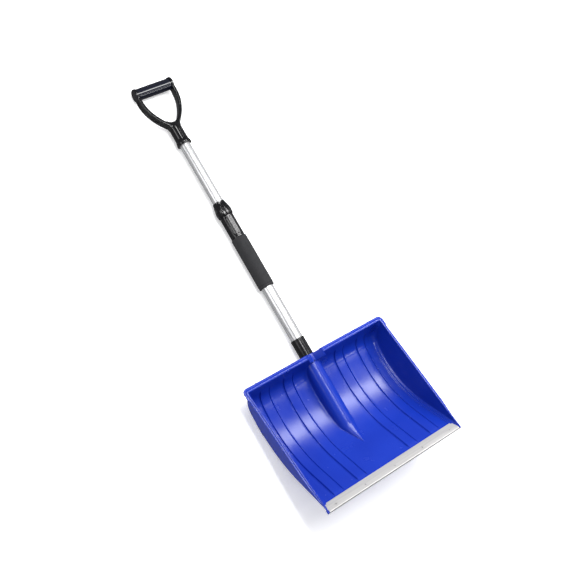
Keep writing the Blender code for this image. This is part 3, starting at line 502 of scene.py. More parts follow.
@dataclass(frozen=True)
class MouldedPlastic:
    """Moulded plastic: a faint orange peel and patches that are a little duller."""

    slot: Slot
    deep: Colour
    light: Colour
    polished: float
    dull: float
    peel: float = 1.0e-5
    peel_scale: float = 420.0
    shine: float = 0.5

    def material(self) -> Material:
        """Make the material.

        Returns:
            The material.
        """
        paint = NodePainter(self.slot.value)
        paint.tint(paint.grain(9.0), self.deep, self.light)
        paint.vary_roughness(paint.grain(26.0, 6.0), self.polished, self.dull)
        waves = paint.bump(paint.grain(30.0, 2.0), self.peel * 4)
        paint.bump(paint.grain(self.peel_scale, 3.0), self.peel, waves)
        paint.set(Specular_IOR_Level=self.shine)
        return paint.material


@dataclass(frozen=True)
class WorkedMetal:
    """Bare metal with fine lines left by drawing, rolling or turning it."""

    slot: Slot
    deep: Colour
    light: Colour
    polished: float
    dull: float
    along: Triple
    bareness: float
    line_depth: float = 2.0e-6
    line_scale: float = 2600.0

    def material(self) -> Material:
        """Make the material.

        Returns:
            The material.
        """
        paint = NodePainter(self.slot.value)
        paint.tint(paint.grain(self.line_scale / 8, 5.0, self.along), self.deep, self.light)
        paint.vary_roughness(paint.grain(self.line_scale / 3, 4.0, self.along), self.polished, self.dull)
        paint.bump(paint.grain(self.line_scale, 2.0, self.along), self.line_depth)
        paint.set(Metallic=self.bareness)
        return paint.material


@dataclass(frozen=True)
class FoamRubber:
    """Closed-cell foam with a matt skin of fine pores."""

    slot: Slot
    deep: Colour
    light: Colour
    pore_scale: float = 1500.0
    pore_depth: float = 1.2e-4

    def material(self) -> Material:
        """Make the material.

        Returns:
            The material.
        """
        paint = NodePainter(self.slot.value)
        paint.tint(paint.grain(700.0, 5.0), self.deep, self.light)
        paint.vary_roughness(paint.grain(60.0), 0.72, 0.92)
        skin = paint.bump(paint.grain(240.0, 4.0), self.pore_depth)
        paint.bump(paint.cells(self.pore_scale), self.pore_depth / 2, skin)
        paint.set(Specular_IOR_Level=0.3)
        return paint.material


ALONG_TUBE: Triple = (1.0, 0.02, 1.0)
ACROSS_SCOOP: Triple = (0.03, 1.0, 1.0)
ALL_WAYS: Triple = (1.0, 1.0, 1.0)
FINISHES = (
    MouldedPlastic(Slot.BLUE, (0.0045, 0.024, 0.315), (0.0065, 0.031, 0.360), 0.20, 0.28),
    MouldedPlastic(Slot.BLACK, (0.003, 0.003, 0.004), (0.005, 0.005, 0.006), 0.18, 0.28, shine=0.55),
    MouldedPlastic(Slot.GLOSS_BLACK, (0.002, 0.002, 0.003), (0.004, 0.004, 0.005), 0.10, 0.17, shine=0.65),
    MouldedPlastic(Slot.BAR_BLACK, (0.003, 0.004, 0.009), (0.005, 0.006, 0.013), 0.10, 0.16, shine=0.65),
    MouldedPlastic(Slot.WHITE, (0.62, 0.62, 0.60), (0.72, 0.72, 0.70), 0.38, 0.50),
    WorkedMetal(Slot.TUBE, (0.64, 0.64, 0.65), (0.72, 0.72, 0.73), 0.24, 0.32, ALONG_TUBE, 0.70),
    WorkedMetal(Slot.STRIP, (0.60, 0.59, 0.58), (0.70, 0.69, 0.68), 0.34, 0.46, ACROSS_SCOOP, 0.60),
    WorkedMetal(Slot.STEEL, (0.48, 0.48, 0.50), (0.60, 0.60, 0.62), 0.28, 0.42, ALL_WAYS, 1.0),
    FoamRubber(Slot.FOAM, (0.016, 0.016, 0.018), (0.030, 0.030, 0.032)),
)


class FinishCard:
    """All the finishes, made once and handed out by slot."""

    def __init__(self) -> None:
        """Make every finish."""
        self.materials = {finish.slot: finish.material() for finish in FINISHES}

    def apply(self, piece: Piece, slot: Slot) -> None:
        """Give a piece its finish.

        Args:
            piece: The piece.
            slot: The finish.
        """
        piece.data.materials.clear()
        piece.data.materials.append(self.materials[slot])


# ---- What every sub-assembly shares --------------------------------------------------------------


@dataclass
class SubAssembly:
    """Some pieces that belong together."""

    line: CentreLine
    finishes: FinishCard
    made: list[Piece] = field(default_factory=list)

    def dress(self, piece: Piece, slot: Slot, body: Body, *nodes: str) -> Piece:
        """Give a piece its finish and fix it to the frame.

        Args:
            piece: The piece, in place.
            slot: Its finish.
            body: The moving part that it belongs to.
            nodes: Pieces of the frame that it stands for.

        Returns:
            The same piece.
        """
        self.finishes.apply(piece, slot)
        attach(piece, body.value)
        if nodes:
            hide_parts(*nodes)
        self.made.append(piece)
        return piece

    def show(
        self, shell: Shell, name: str, slot: Slot, body: Body, *nodes: str, crease: float = 32.0
    ) -> Piece:
        """Make a piece from its mesh, give it its finish and fix it to the frame.

        Args:
            shell: The mesh.
            name: The piece's name.
            slot: Its finish.
            body: The moving part that it belongs to.
            nodes: Pieces of the frame that it stands for.
            crease: Edges that turn by more than this many degrees stay sharp.

        Returns:
            The piece.
        """
        return self.dress(shell.finish(name, self.line, crease), slot, body, *nodes)

    def keep(self, node: str, slot: Slot, edge: float = 0.0) -> None:
        """Show a piece of the frame as it is.

        Args:
            node: The piece's name.
            slot: Its finish.
            edge: Width by which its edges are softened, or 0.
        """
        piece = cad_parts[node]
        self.finishes.apply(piece, slot)
        if edge:
            bevel(piece, edge)
        self.made.append(piece)


# ---- Scoop ---------------------------------------------------------------------------------------


@dataclass(frozen=True)
class ScoopSizes:
    """The scoop's sizes, in metres and degrees."""

    half_mouth: float = 0.2025
    edge_height: float = 0.115
    rim_reach: float = 0.320
    rim_height: float = 0.048
    ramp_angle: float = 41.0
    ramp_length: float = 0.1167
    floor_radius: float = 0.224
    crease_radius: float = 0.040
    back_wall_angle: float = 70.0
    side_draft: float = 5.2
    wall: float = 0.0032
    toe_reach: float = 0.003
    toe_lift: float = 0.002
    toe_lift_length: float = 0.050
    rim_rounding: float = 0.0012
    flange_under: float = 0.0046
    side_flange: float = 0.008
    back_flange: float = 0.0125
    corner_overhang: float = 0.0025
    corner_length: float = 0.028
    corner_radius: float = 0.012
    toe_bare: float = 0.012
    toe_taper: float = 0.075
    notch_half: float = 0.022
    notch_floor_half: float = 0.004
    notch_floor: float = 0.024
    rib_height: float = 0.0017
    rib_half: float = 0.013
    rib_centres: Pair = (0.079, 0.149)
    rib_setback: float = 0.024
    rib_fade: float = 0.005
    rib_climb: float = 0.012
    ridge_radius: float = 0.0215
    ridge_fillet: float = 0.0035
    ridge_tip: float = 0.083
    ridge_taper: float = 0.140
    crest_rise: float = 0.0006
    crest_width: float = 0.0030
    socket_radius: float = 0.021
    socket_bore: float = 0.0180
    handle_end: float = 0.205
    socket_nose: float = 0.160
    socket_end: float = 0.332

    @property
    def ramp(self) -> float:
        """The front of the floor's slope, in radians."""
        return math.radians(self.ramp_angle)

    @property
    def back(self) -> float:
        """The back wall's slope, in radians."""
        return math.radians(self.back_wall_angle)

    @property
    def draft(self) -> float:
        """How far the side walls lean out for each metre of height."""
        return math.tan(math.radians(self.side_draft))

    @property
    def tilt(self) -> float:
        """The rim's slope, in radians."""
        return math.atan2(self.edge_height - self.rim_height, self.rim_reach)

    @property
    def arc(self) -> Pair:
        """The centre of the floor's curve.

        Returns:
            The point, as (station, height).
        """
        drop = self.ramp_length * math.sin(self.ramp)
        return (
            self.ramp_length * math.cos(self.ramp) + self.floor_radius * math.sin(self.ramp),
            self.edge_height - drop + self.floor_radius * math.cos(self.ramp),
        )

    @property
    def crease_slope(self) -> float:
        """Where the floor's crease starts.

        Returns:
            The floor's slope there, in radians.
        """
        out = Vector((math.sin(self.back), -math.cos(self.back)))
        reach = (Vector((self.rim_reach, self.rim_height)) - Vector(self.arc)).dot(out) - self.crease_radius
        return self.back - math.acos(reach / (self.floor_radius - self.crease_radius))

    def to_rim(self, station: float, height: float) -> Pair:
        """Measure a place from the rim.

        Args:
            station: Its station along the handle.
            height: Its height.

        Returns:
            Its distance along the rim and its depth under it.
        """
        drop = self.edge_height - height
        return (
            station * math.cos(self.tilt) + drop * math.sin(self.tilt),
            drop * math.cos(self.tilt) - station * math.sin(self.tilt),
        )

    def from_rim(self, along: float, depth: float) -> Pair:
        """Find a place that is measured from the rim.

        Args:
            along: Its distance along the rim.
            depth: Its depth under the rim.

        Returns:
            The place, as (station, height).
        """
        return (
            along * math.cos(self.tilt) - depth * math.sin(self.tilt),
            self.edge_height - along * math.sin(self.tilt) - depth * math.cos(self.tilt),
        )

    def ramp_point(self, along: float, above: float) -> Pair:
        """Find a place that is measured from the front of the floor.

        Args:
            along: Its distance along the floor from the front edge.
            above: Its height above the floor's surface.

        Returns:
            The place, as (station, height).
        """
        return (
            along * math.cos(self.ramp) + above * math.sin(self.ramp),
            self.edge_height - along * math.sin(self.ramp) + above * math.cos(self.ramp),
        )

    def toe_rise(self, along: float) -> float:
        """How far the rim stands above its plane near the toes."""
        return self.toe_lift * (1.0 - smoothstep(along / self.toe_lift_length))


@dataclass(frozen=True)
class FloorRow:
    """One line across the floor or the back wall."""

    station: float
    height: float
    slope: float
    run: float
    wallness: float
    ribness: float


RIB_EDGE = (
    (-0.0046, 1.0), (-0.0022, 1.0), (-0.0014, 0.96), (-0.0008, 0.62), (-0.0003, 0.0),
    (0.0002, -0.72), (0.0007, -0.95), (0.0012, -0.78), (0.0016, -0.20), (0.0020, 0.20),
    (0.0025, 0.36), (0.0030, 0.24), (0.0036, 0.06), (0.0044, 0.0),
)  # fmt: skip
LEDGE_CORNER = (
    (0.0125, 0.0), (0.0112, 0.0), (0.0109, 0.0002), (0.0107, 0.0014), (0.0105, 0.0017),
    (0.0090, 0.0021), (0.0082, 0.0021), (0.0060, 0.0020), (0.0054, 0.0020), (0.0051, 0.0022),
    (0.0049, 0.0034), (0.0047, 0.0037), (0.0032, 0.0041), (0.0026, 0.0041), (0.0012, 0.0043),
    (0.0003, 0.0056),
)  # fmt: skip
CORNER_LEDGE_ROOM = 0.014
LEDGE_END, LEDGE_FADE = 0.330, 0.030
PLAIN_CORNER = 0.011
SIDE_STEPS = (0.06, 0.16, 0.30, 0.46, 0.62, 0.76, 0.87, 0.94, 1.0)
FLANGE_SECTION = (
    (0.01, -0.13), (0.05, -0.03), (0.11, 0.04), (0.20, 0.12), (0.29, 0.15), (0.38, 0.12),
    (0.46, 0.02), (0.50, -0.10), (0.53, -0.24), (0.58, -0.29), (0.80, -0.30), (0.93, -0.33),
    (0.98, -0.42), (1.00, -0.58), (1.00, -0.80), (0.97, -0.90), (0.88, -0.94),
)  # fmt: skip


@dataclass
class Scoop(SubAssembly):
    """The moulded scoop and the metal strip on its front edge."""

    sizes: ScoopSizes = field(default_factory=ScoopSizes)

    def floor_rows(self, under: float, rim_drop: float) -> list[FloorRow]:
        """Lay out the lines across the floor, from the front edge to the back rim.

        Args:
            under: Distance under the floor's surface.
            rim_drop: Distance under the rim at which the back wall ends.

        Returns:
            The lines, in order.
        """
        size = self.sizes
        slope = size.crease_slope
        floor_end = size.ramp_length + size.floor_radius * (size.ramp + slope)
        crease_end = floor_end + (size.back - slope) * size.crease_radius
        rib_end = crease_end + size.rib_climb
        rows: list[FloorRow] = []

        def add(station: float, height: float, turn: float, run: float, wallness: float) -> None:
            """Add one line, moved out by the distance under the surface.

            Args:
                station: Its station on the surface.
                height: Its height on the surface.
                turn: The surface's slope there, in radians.
                run: Distance along the surface from the front edge.
                wallness: 0 on the floor, 1 on the back wall.
            """
            start = smoothstep((run - size.rib_setback) / (3 * size.rib_fade))
            end = smoothstep((rib_end - run) / (3 * size.rib_fade))
            rows.append(
                FloorRow(
                    station + under * math.sin(turn),
                    height - under * math.cos(turn),
                    turn,
                    run,
                    wallness,
                    start * end,
                )
            )

        runs = spaced(0.0, 0.026, 0.0026) + spaced(0.026, 0.038, 0.001)
        runs += spaced(0.038, size.ramp_length, 0.0024)
        for run in runs:
            add(*size.ramp_point(run, 0.0), -size.ramp, run, 0.0)
        arc_s, arc_h = size.arc
        for turn in spaced(-size.ramp, slope, 0.0022 / size.floor_radius):
            station = arc_s + size.floor_radius * math.sin(turn)
            height = arc_h - size.floor_radius * math.cos(turn)
            add(station, height, turn, size.ramp_length + (turn + size.ramp) * size.floor_radius, 0.0)
        inner = size.floor_radius - size.crease_radius
        crease = (arc_s + inner * math.sin(slope), arc_h - inner * math.cos(slope))
        for turn in spaced(slope, size.back, 0.05):
            share = (turn - slope) / (size.back - slope)
            station = crease[0] + size.crease_radius * math.sin(turn)
            height = crease[1] - size.crease_radius * math.cos(turn)
            add(station, height, turn, floor_end + (turn - slope) * size.crease_radius, share)
        foot = (
            crease[0] + size.crease_radius * math.sin(size.back),
            crease[1] - size.crease_radius * math.cos(size.back),
        )
        outer_foot = (foot[0] + under * math.sin(size.back), foot[1] - under * math.cos(size.back))
        climb = (size.to_rim(*outer_foot)[1] - rim_drop) / math.sin(size.back + size.tilt)
        for rise in spaced(0.0, climb, 0.0024) + [climb]:
            station = foot[0] + rise * math.cos(size.back)
            height = foot[1] + rise * math.sin(size.back)
            add(station, height, size.back, crease_end + rise, 1.0)
        return rows

    def rib_lift(self, x: float) -> float:
        """How far the floor is raised, or sunk beside a rib, at x.

        Args:
            x: Distance to the right of the middle.

        Returns:
            The lift, in metres.
        """
        size = self.sizes
        for centre in size.rib_centres:
            for side in Side:
                off = x - side.value * centre
                edge = abs(off) - size.rib_half
                if edge < RIB_EDGE[-1][0]:
                    return size.rib_height * read_curve(RIB_EDGE, edge)
        return 0.0

    def ridge_points(self, row_height: float) -> list[Pair]:
        """Half of the ridge over the socket, from its crest to its foot on the floor.

        Args:
            row_height: The floor's height here.

        Returns:
            Points of (x, height).
        """
        size = self.sizes
        radius, fillet = size.ridge_radius, size.ridge_fillet
        smallest = 0.006
        reach = (radius + fillet) ** 2 - (row_height + fillet) ** 2
        foot = math.sqrt(max(reach, smallest**2))
        above_axis = row_height + fillet > 0
        if above_axis:
            crest_turn = math.atan2(foot, row_height + fillet)
        else:
            crest_turn = math.pi / 2
            foot = radius + fillet
        points: list[Pair] = []
        crest_steps, wall_steps, fillet_steps = 9, 3, 6
        for i in range(crest_steps + 1):
            turn = crest_turn * i / crest_steps
            x = radius * math.sin(turn)
            points.append((x, max(radius * math.cos(turn), row_height)))
        last = points[-1]
        top = (last[0], last[1] if above_axis else row_height + fillet)
        for i in range(1, wall_steps + 1):
            share = i / (wall_steps + 1)
            points.append((last[0] + 1e-4 * share, between(last[1], top[1], share)))
        start = crest_turn
        for i in range(1, fillet_steps + 1):
            turn = between(start, 0.0, i / fillet_steps)
            if reach > smallest**2 or not above_axis:
                x = foot - fillet * math.sin(turn)
                height = row_height + fillet - fillet * math.cos(turn)
            else:
                x, height = between(last[0], foot, i / fillet_steps), row_height
            points.append((x, max(height, row_height)))
        return points

    def tapered_ridge(self, station: float, row_height: float) -> list[Pair]:
        """Half of the ridge, which shrinks to a point where it runs up the front of the floor.

        Args:
            station: Where the line across the floor is.
            row_height: The floor's height there.

        Returns:
            Points of (x, height), from its crest to its foot.
        """
        size = self.sizes
        share = (station - size.ridge_tip) / (size.ridge_taper - size.ridge_tip)
        if share >= 1.0:
            points = self.ridge_points(row_height)
            base, share = row_height, 1.0
        else:
            arc_s, arc_h = size.arc
            base = arc_h - math.sqrt(size.floor_radius**2 - (size.ridge_taper - arc_s) ** 2)
            points = self.ridge_points(base)
        lift = max(share, 0.0)
        width = max(share, 0.15)
        made = []
        for x, level in points:
            crest = size.crest_rise * math.exp(-((x / size.crest_width) ** 2)) if level > base + 1e-4 else 0.0
            made.append((x * width, row_height + (level - base + crest) * lift))
        return made

    def floor_marks(self) -> list[float]:
        """Where the floor has points, beyond the ridge.

        Returns:
            Distances from the middle.
        """
        size = self.sizes
        marks: list[float] = []
        for centre in size.rib_centres:
            for way in (-1, 1):
                edge = [centre + way * (size.rib_half + step) for step, _ in RIB_EDGE]
                marks += edge if way > 0 else edge[::-1]
            marks.append(centre)
        first, second = size.rib_centres
        gap_start, gap_end = first + size.rib_half + 0.005, second - size.rib_half - 0.005
        marks += spaced(gap_start, gap_end, 0.005)[1:]
        marks += spaced(0.036, first - size.rib_half - 0.0046, 0.005)
        marks += spaced(second + size.rib_half + 0.0060, size.half_mouth - 0.0240, 0.004)
        return sorted(marks)

    def half_row(self, row: FloorRow, outward: float, rim_drop: float, plain: bool, way: int) -> list[Triple]:
        """One half of a line across the scoop, from its middle out and up to the rim.

        Args:
            row: The line on the floor.
            outward: Distance outside the inner surface.
            rim_drop: Distance under the rim at which the side wall ends.
            plain: Whether ribs, ridge and ledges are left out.
            way: -1 for the left half, 1 for the right.

        Returns:
            The points, in order.
        """
        size = self.sizes
        station, height = row.station, row.height
        normal = (-math.sin(row.slope), math.cos(row.slope))
        along, depth = size.to_rim(station, height)
        room = depth + size.toe_rise(along)
        scale = min(1.0, max(room, 0.0015) / CORNER_LEDGE_ROOM)
        half = size.half_mouth + outward
        points: list[Triple] = []
        flat = [(0.0013 * i, height) for i in range(19)]
        ridge = flat if plain else self.tapered_ridge(station, height)
        for x, level in ridge:
            points.append((way * x, station, level))
        foot = ridge[-1][0]
        corner_start = half - depth * size.draft - LEDGE_CORNER[0][0] * scale
        marks = self.floor_marks()
        squeeze_from = size.rib_centres[1] + size.rib_half + 0.0043
        first_mark, last_mark = 0.0335, size.half_mouth - 0.0220
        inner_edge = size.rib_centres[0] - size.rib_half - 0.0043
        for mark in marks:
            x = mark
            if x < inner_edge:
                x = between(foot, inner_edge, (mark - first_mark) / (inner_edge - first_mark))
            if x > squeeze_from:
                x = between(squeeze_from, corner_start, (mark - squeeze_from) / (last_mark - squeeze_from))
            lift = 0.0 if plain else self.rib_lift(way * x) * row.ribness
            points.append((way * x, station + normal[0] * lift, height + normal[1] * lift))
        points += self.corner_points(row, half, scale, plain, way)
        _, station, height = points[-1]
        along, low = size.to_rim(station, height)
        top = min(low, -size.toe_rise(along) + min(rim_drop, 0.4 * room))
        for share in SIDE_STEPS:
            deep = between(low, top, share)
            points.append((way * (half - deep * size.draft), *size.from_rim(along, deep)))
        return points

    def corner_points(self, row: FloorRow, half: float, scale: float, plain: bool, way: int) -> list[Triple]:
        """The corner between the floor or the back wall and a side wall.

        Args:
            row: The line on the floor.
            half: Half the width between the side walls at the rim.
            scale: Size of the corner against its full size.
            plain: Whether it is a plain rounded corner.
            way: -1 for the left side, 1 for the right.

        Returns:
            The points, from the floor up.
        """
        size = self.sizes
        lean = row.wallness * math.pi / 2
        up = (
            math.sin(size.tilt) * math.cos(lean) - math.cos(size.tilt) * math.sin(lean),
            math.cos(size.tilt) * math.cos(lean) + math.sin(size.tilt) * math.sin(lean),
        )
        radius = PLAIN_CORNER
        ledge = 0.0 if plain or row.wallness else smoothstep((LEDGE_END - row.run) / LEDGE_FADE)
        points = []
        last = len(LEDGE_CORNER) - 1
        for i, (inward, rise) in enumerate(LEDGE_CORNER):
            turn = math.pi / 2 * max(0.0, (i - 1) / (last - 1))
            round_in = radius * (1 - math.sin(turn)) if i else LEDGE_CORNER[0][0]
            round_up = radius * (1 - math.cos(turn)) if i else 0.0
            a = scale * between(round_in, inward, ledge)
            b = scale * between(round_up, rise, ledge)
            station, height = row.station + up[0] * b, row.height + up[1] * b
            deep = size.to_rim(station, height)[1]
            points.append((way * (half - deep * size.draft - a), station, height))
        return points

    def skin(self, shell: Shell, outward: float, rim_drop: float, plain: bool) -> list[list[int]]:
        """Add the scoop's inner or outer surface.

        Args:
            shell: The mesh to add to.
            outward: Distance outside the inner surface.
            rim_drop: Distance under the rim at which it ends.
            plain: Whether ribs, ridge and ledges are left out.

        Returns:
            Its point numbers, row by row, from the left rim to the right rim.
        """
        rows = []
        for row in self.floor_rows(outward, rim_drop):
            left = self.half_row(row, outward, rim_drop, plain, -1)
            right = self.half_row(row, outward, rim_drop, plain, 1)
            rows.append(shell.add_row(left[:0:-1] + right))
        shell.join_rows(rows)
        return rows

    def flange_outline(self) -> list[Pair]:
        """The rim flange's outline from above.

        Returns:
            The points, as (x, distance along the rim).
        """
        size = self.sizes
        back = size.to_rim(size.rim_reach, size.rim_height)[0] + size.back_flange
        bare = size.half_mouth + size.wall
        side = size.half_mouth + size.side_flange
        corner = side + size.corner_overhang
        step = back - size.corner_length
        radius = size.corner_radius
        half: list[Pair] = [(bare, -0.05), (bare, size.toe_bare), (side, size.toe_taper)]
        half += [(side, step - size.corner_overhang), (corner, step)]
        for i in range(9):
            turn = math.pi / 2 * i / 8
            half.append((corner - radius + radius * math.cos(turn), back - radius + radius * math.sin(turn)))
        return half + [(-x, along) for x, along in reversed(half)]

    def flange_reach(self, outline: Sequence[Pair], start: Vector, way: Vector) -> float:
        """How far the flange reaches from a point on the mouth's edge.

        Args:
            outline: The flange's outline.
            start: The point, as (x, distance along the rim).
            way: The direction straight out of the mouth.

        Returns:
            The distance to the outline.
        """
        best = 0.030
        for (ax, ay), (bx, by) in zip(outline, outline[1:]):
            run = Vector((bx - ax, by - ay))
            cross = way.x * run.y - way.y * run.x
            if abs(cross) < 1e-9:
                continue
            off = Vector((ax - start.x, ay - start.y))
            distance = (off.x * run.y - off.y * run.x) / cross
            share = (off.x * way.y - off.y * way.x) / cross
            if distance > 0 and -1e-6 <= share <= 1 + 1e-6:
                best = min(best, distance)
        return max(best, self.sizes.wall)

    def flange(self, shell: Shell, inner: Sequence[int], outer: Sequence[int]) -> list[list[int]]:
        """Add the rim flange round the mouth, between the inner and the outer surface.

        Args:
            shell: The mesh to add to.
            inner: The inner surface's edge, from the left toe round to the right toe.
            outer: The outer surface's edge, likewise.

        Returns:
            The flange's point numbers, section by section.
        """
        size = self.sizes
        outline = self.flange_outline()
        flat = []
        for number in inner:
            x, station, height = shell.points[number]
            flat.append(Vector((x, size.to_rim(station, height)[0])))
        sections = []
        for i, (low, high) in enumerate(zip(inner, outer)):
            before, after = i, i
            while before > 0 and (flat[i] - flat[before]).length < 0.0008:
                before -= 1
            while after < len(flat) - 1 and (flat[after] - flat[i]).length < 0.0008:
                after += 1
            run = (flat[after] - flat[before]).normalized()
            way = Vector((-run.y, run.x))
            reach = self.flange_reach(outline, flat[i], way)
            _, station, height = shell.points[high]
            lift = size.toe_rise(flat[i].y)
            under = size.to_rim(station, height)[1] + lift
            ring = [low]
            points = []
            for out, up in FLANGE_SECTION:
                spot = flat[i] + way * max(out * reach, 1e-5)
                points.append((spot.x, *size.from_rim(spot.y, -lift - up * under)))
            inward = flat[i] + way * (size.wall + 0.0005 if reach > size.wall + 0.0006 else reach)
            points.append((inward.x, *size.from_rim(inward.y, -lift + 0.95 * under)))
            ring += shell.add_row(points)
            ring.append(high)
            sections.append(ring)
        shell.join_rows(sections)
        return sections

    def bowl(self) -> Piece:
        """The scoop's bowl with its rim flange, and the notch cut out of the back rim.

        Returns:
            The bowl.
        """
        size = self.sizes
        shell = Shell()
        inner = self.skin(shell, 0.0, size.rim_rounding, plain=False)
        outer = self.skin(shell, size.wall, size.flange_under, plain=True)
        edges = []
        for rows in (inner, outer):
            sides = len(SIDE_STEPS)
            across = rows[-1][sides:-sides]
            edges.append([row[0] for row in rows] + list(across) + [row[-1] for row in reversed(rows)])
        sections = self.flange(shell, *edges)
        front_inner = inner[0]
        front_outer = outer[0]
        for i in range(len(front_inner) - 1):
            shell.faces.append((front_inner[i], front_inner[i + 1], front_outer[i + 1], front_outer[i]))
        for section in (sections[0], sections[-1]):
            shell.faces.append(tuple(section))
        bowl = shell.finish("scoop_shell", self.line)
        tool = Shell()
        top = size.rim_height + 0.02
        widen = (size.notch_half - size.notch_floor_half) / (size.rim_height - size.notch_floor)
        top_half = size.notch_floor_half + (top - size.notch_floor) * widen
        outline = [(-top_half, top), (-size.notch_floor_half, size.notch_floor)]
        outline += [(size.notch_floor_half, size.notch_floor), (top_half, top)]
        tool.loft([[(x, station, h) for x, h in outline] for station in (0.29, 0.36)])
        cut(bowl, tool.finish("notch_tool", self.line))
        shade(bowl, BOWL_CREASE)
        return bowl

    def notch_lip(self, shell: Shell) -> None:
        """Add the lip that runs down and up round the notch.

        Args:
            shell: The mesh to add to.
        """
        size = self.sizes
        thick, bend, corner_steps = 0.0028, 0.003, 5
        start = size.rim_reach - (size.rim_height - size.notch_floor) / math.tan(size.back) - 0.0004
        end = size.rim_reach + size.back_flange * 0.86
        path = [
            Vector((-size.notch_half + 0.0008, size.rim_height - 0.0008)),
            Vector((-size.notch_floor_half, size.notch_floor)),
            Vector((size.notch_floor_half, size.notch_floor)),
            Vector((size.notch_half - 0.0008, size.rim_height - 0.0008)),
        ]
        points = [path[0]]
        for corner in (1, 2):
            before = (path[corner - 1] - path[corner]).normalized() * bend
            after = (path[corner + 1] - path[corner]).normalized() * bend
            for i in range(corner_steps + 1):
                share = i / corner_steps
                points.append(path[corner] + before * (1 - share) ** 2 + after * share**2)
        points.append(path[3])
        rings = []
        for i, spot in enumerate(points):
            run = (points[min(i + 1, len(points) - 1)] - points[max(i - 1, 0)]).normalized()
            down = Vector((run.y, -run.x))
            section = rounded(
                [(start, 0.0, 0.0004), (end, 0.0, 0.0012), (end, thick, 0.0010), (start, thick, 0.0004)], 3
            )
            rings.append([(spot.x + down.x * deep, s, spot.y + down.y * deep) for s, deep in section])
        shell.loft(rings)

    def socket(self, shell: Shell) -> None:
        """Add the handle socket, which runs under the floor and out through the back wall.

        Args:
            shell: The mesh to add to.
        """
        size = self.sizes
        radius, bore = size.socket_radius, size.socket_bore
        profile = rounded(
            [
                (0.0005, size.socket_nose, 0.0),
                (radius * 0.45, size.socket_nose, 0.003),
                (radius, size.handle_end - 0.012, 0.006),
                (radius, size.socket_end, 0.0010),
                (bore, size.socket_end, 0.0006),
                (bore, size.handle_end, 0.0005),
                (0.0005, size.handle_end, 0.0),
            ]
        )
        shell.turn(profile, SOCKET_FACETS)

    def underside(self, shell: Shell) -> None:
        """Add the gussets beside the socket, the heel skid and the two nubs under the left rim.

        Args:
            shell: The mesh to add to.
        """
        size = self.sizes
        for side in Side:
            outer = side.value * (size.socket_radius - 0.0005)
            inner = outer - side.value * 0.003
            wall = size.rim_reach + size.wall / 2
            base = wall - (size.rim_height + 0.004) / math.tan(size.back)
            outline = rounded(
                [
                    (base, -0.004, 0.0),
                    (size.socket_end - 0.003, -0.004, 0.0),
                    (size.socket_end - 0.003, 0.010, 0.003),
                    (wall + 0.004, 0.040, 0.003),
                    (wall, 0.040, 0.0),
                ]
            )
            shell.loft([[(x, s, h) for s, h in outline] for x in (inner, outer)])
        arc_s, arc_h = size.arc
        low = -self.line.height
        top = arc_h - size.floor_radius - 0.4 * size.wall
        half_low, half_top = 0.016, 0.020
        skid = rounded(
            [
                (arc_s - half_low, low, 0.003),
                (arc_s + half_low, low, 0.003),
                (arc_s + half_top, top, 0.0),
                (arc_s - half_top, top, 0.0),
            ]
        )
        reach = size.half_mouth - size.to_rim(arc_s, top)[1] * size.draft
        shell.loft([[(x, s, h) for s, h in skid] for x in (-reach, 0.0, reach)])
        back = size.to_rim(size.rim_reach, size.rim_height)[0]
        for x in (-0.172, -0.100):
            s, h = size.from_rim(back + size.back_flange * 0.92, 0.0048)
            turns = (0.02, 0.5, 1.0, 1.57, 2.2, 2.7, 3.12)
            ball = [(0.0026 * math.sin(turn), 0.0022 * math.cos(turn)) for turn in turns]
            shell.turn(ball, 16, lambda u, v, a, x=x, s=s, h=h: (x + u * 1.4, s + a, h + v))

    def toes(self, shell: Shell) -> None:
        """Add the ends of the side walls that stand out past the front edge.

        Args:
            shell: The mesh to add to.
        """
        size = self.sizes
        for side in Side:
            low, high = size.half_mouth + 0.0001, size.half_mouth + size.wall
            lift = size.toe_lift
            rings = []
            for along, shrink in ((-size.toe_reach, 0.0008), (-size.toe_reach + 0.0008, 0.0), (0.006, 0.0)):
                outline = rounded(
                    [
                        (low + shrink, -lift + shrink, 0.0010),
                        (high - shrink, -lift + shrink, 0.0010),
                        (high - shrink, 0.0052 - shrink, 0.0008),
                        (low + shrink, 0.0052 - shrink, 0.0008),
                    ]
                )
                rings.append([(side.value * x, *size.from_rim(along, deep)) for x, deep in outline])
            shell.loft(rings)

    def strip(self) -> Piece:
        """The wear strip: sheet metal folded over the front edge, held by rivets.

        Returns:
            The strip.
        """
        size = self.sizes
        gap, thick, top_width, under_width = 0.0003, 0.0012, 0.0245, 0.014
        under = -size.wall - gap
        corners = [
            (top_width, gap, 0.0002),
            (top_width, gap + thick, 0.0006),
            (-gap - thick, gap + thick, 0.0014),
            (-gap - thick, under - thick, 0.0014),
            (under_width, under - thick, 0.0005),
            (under_width, under, 0.0002),
            (-gap, under, 0.0005),
            (-gap, gap, 0.0005),
        ]
        section = rounded(corners)
        half = size.half_mouth - 0.0020
        shell = Shell()
        rings = []
        inside = spaced(-half + 0.004, half - 0.004, 0.010)[1:]
        for x in [-half, -half + 0.0006, *inside, half - 0.0006, half]:
            rings.append([(x, *size.ramp_point(a, b)) for a, b in section])
        shell.loft(rings)
        return shell.finish("wear_strip_folded", self.line)

    def build(self) -> None:
        """Build and dress the scoop."""
        bowl = self.bowl()
        extras = Shell()
        self.notch_lip(extras)
        self.socket(extras)
        self.underside(extras)
        self.toes(extras)
        rest = extras.finish("scoop_extras", self.line)
        self.dress(bowl, Slot.BLUE, Body.SHOVEL, "scoop")
        self.dress(rest, Slot.BLUE, Body.SHOVEL)
        strip = self.strip()
        self.dress(strip, Slot.STRIP, Body.SHOVEL, "wear_strip")
        for number in range(1, 6):
            self.keep(f"strip_rivet_{number}", Slot.TUBE, 0.0002)


# ---- Lower handle --------------------------------------------------------------------------------


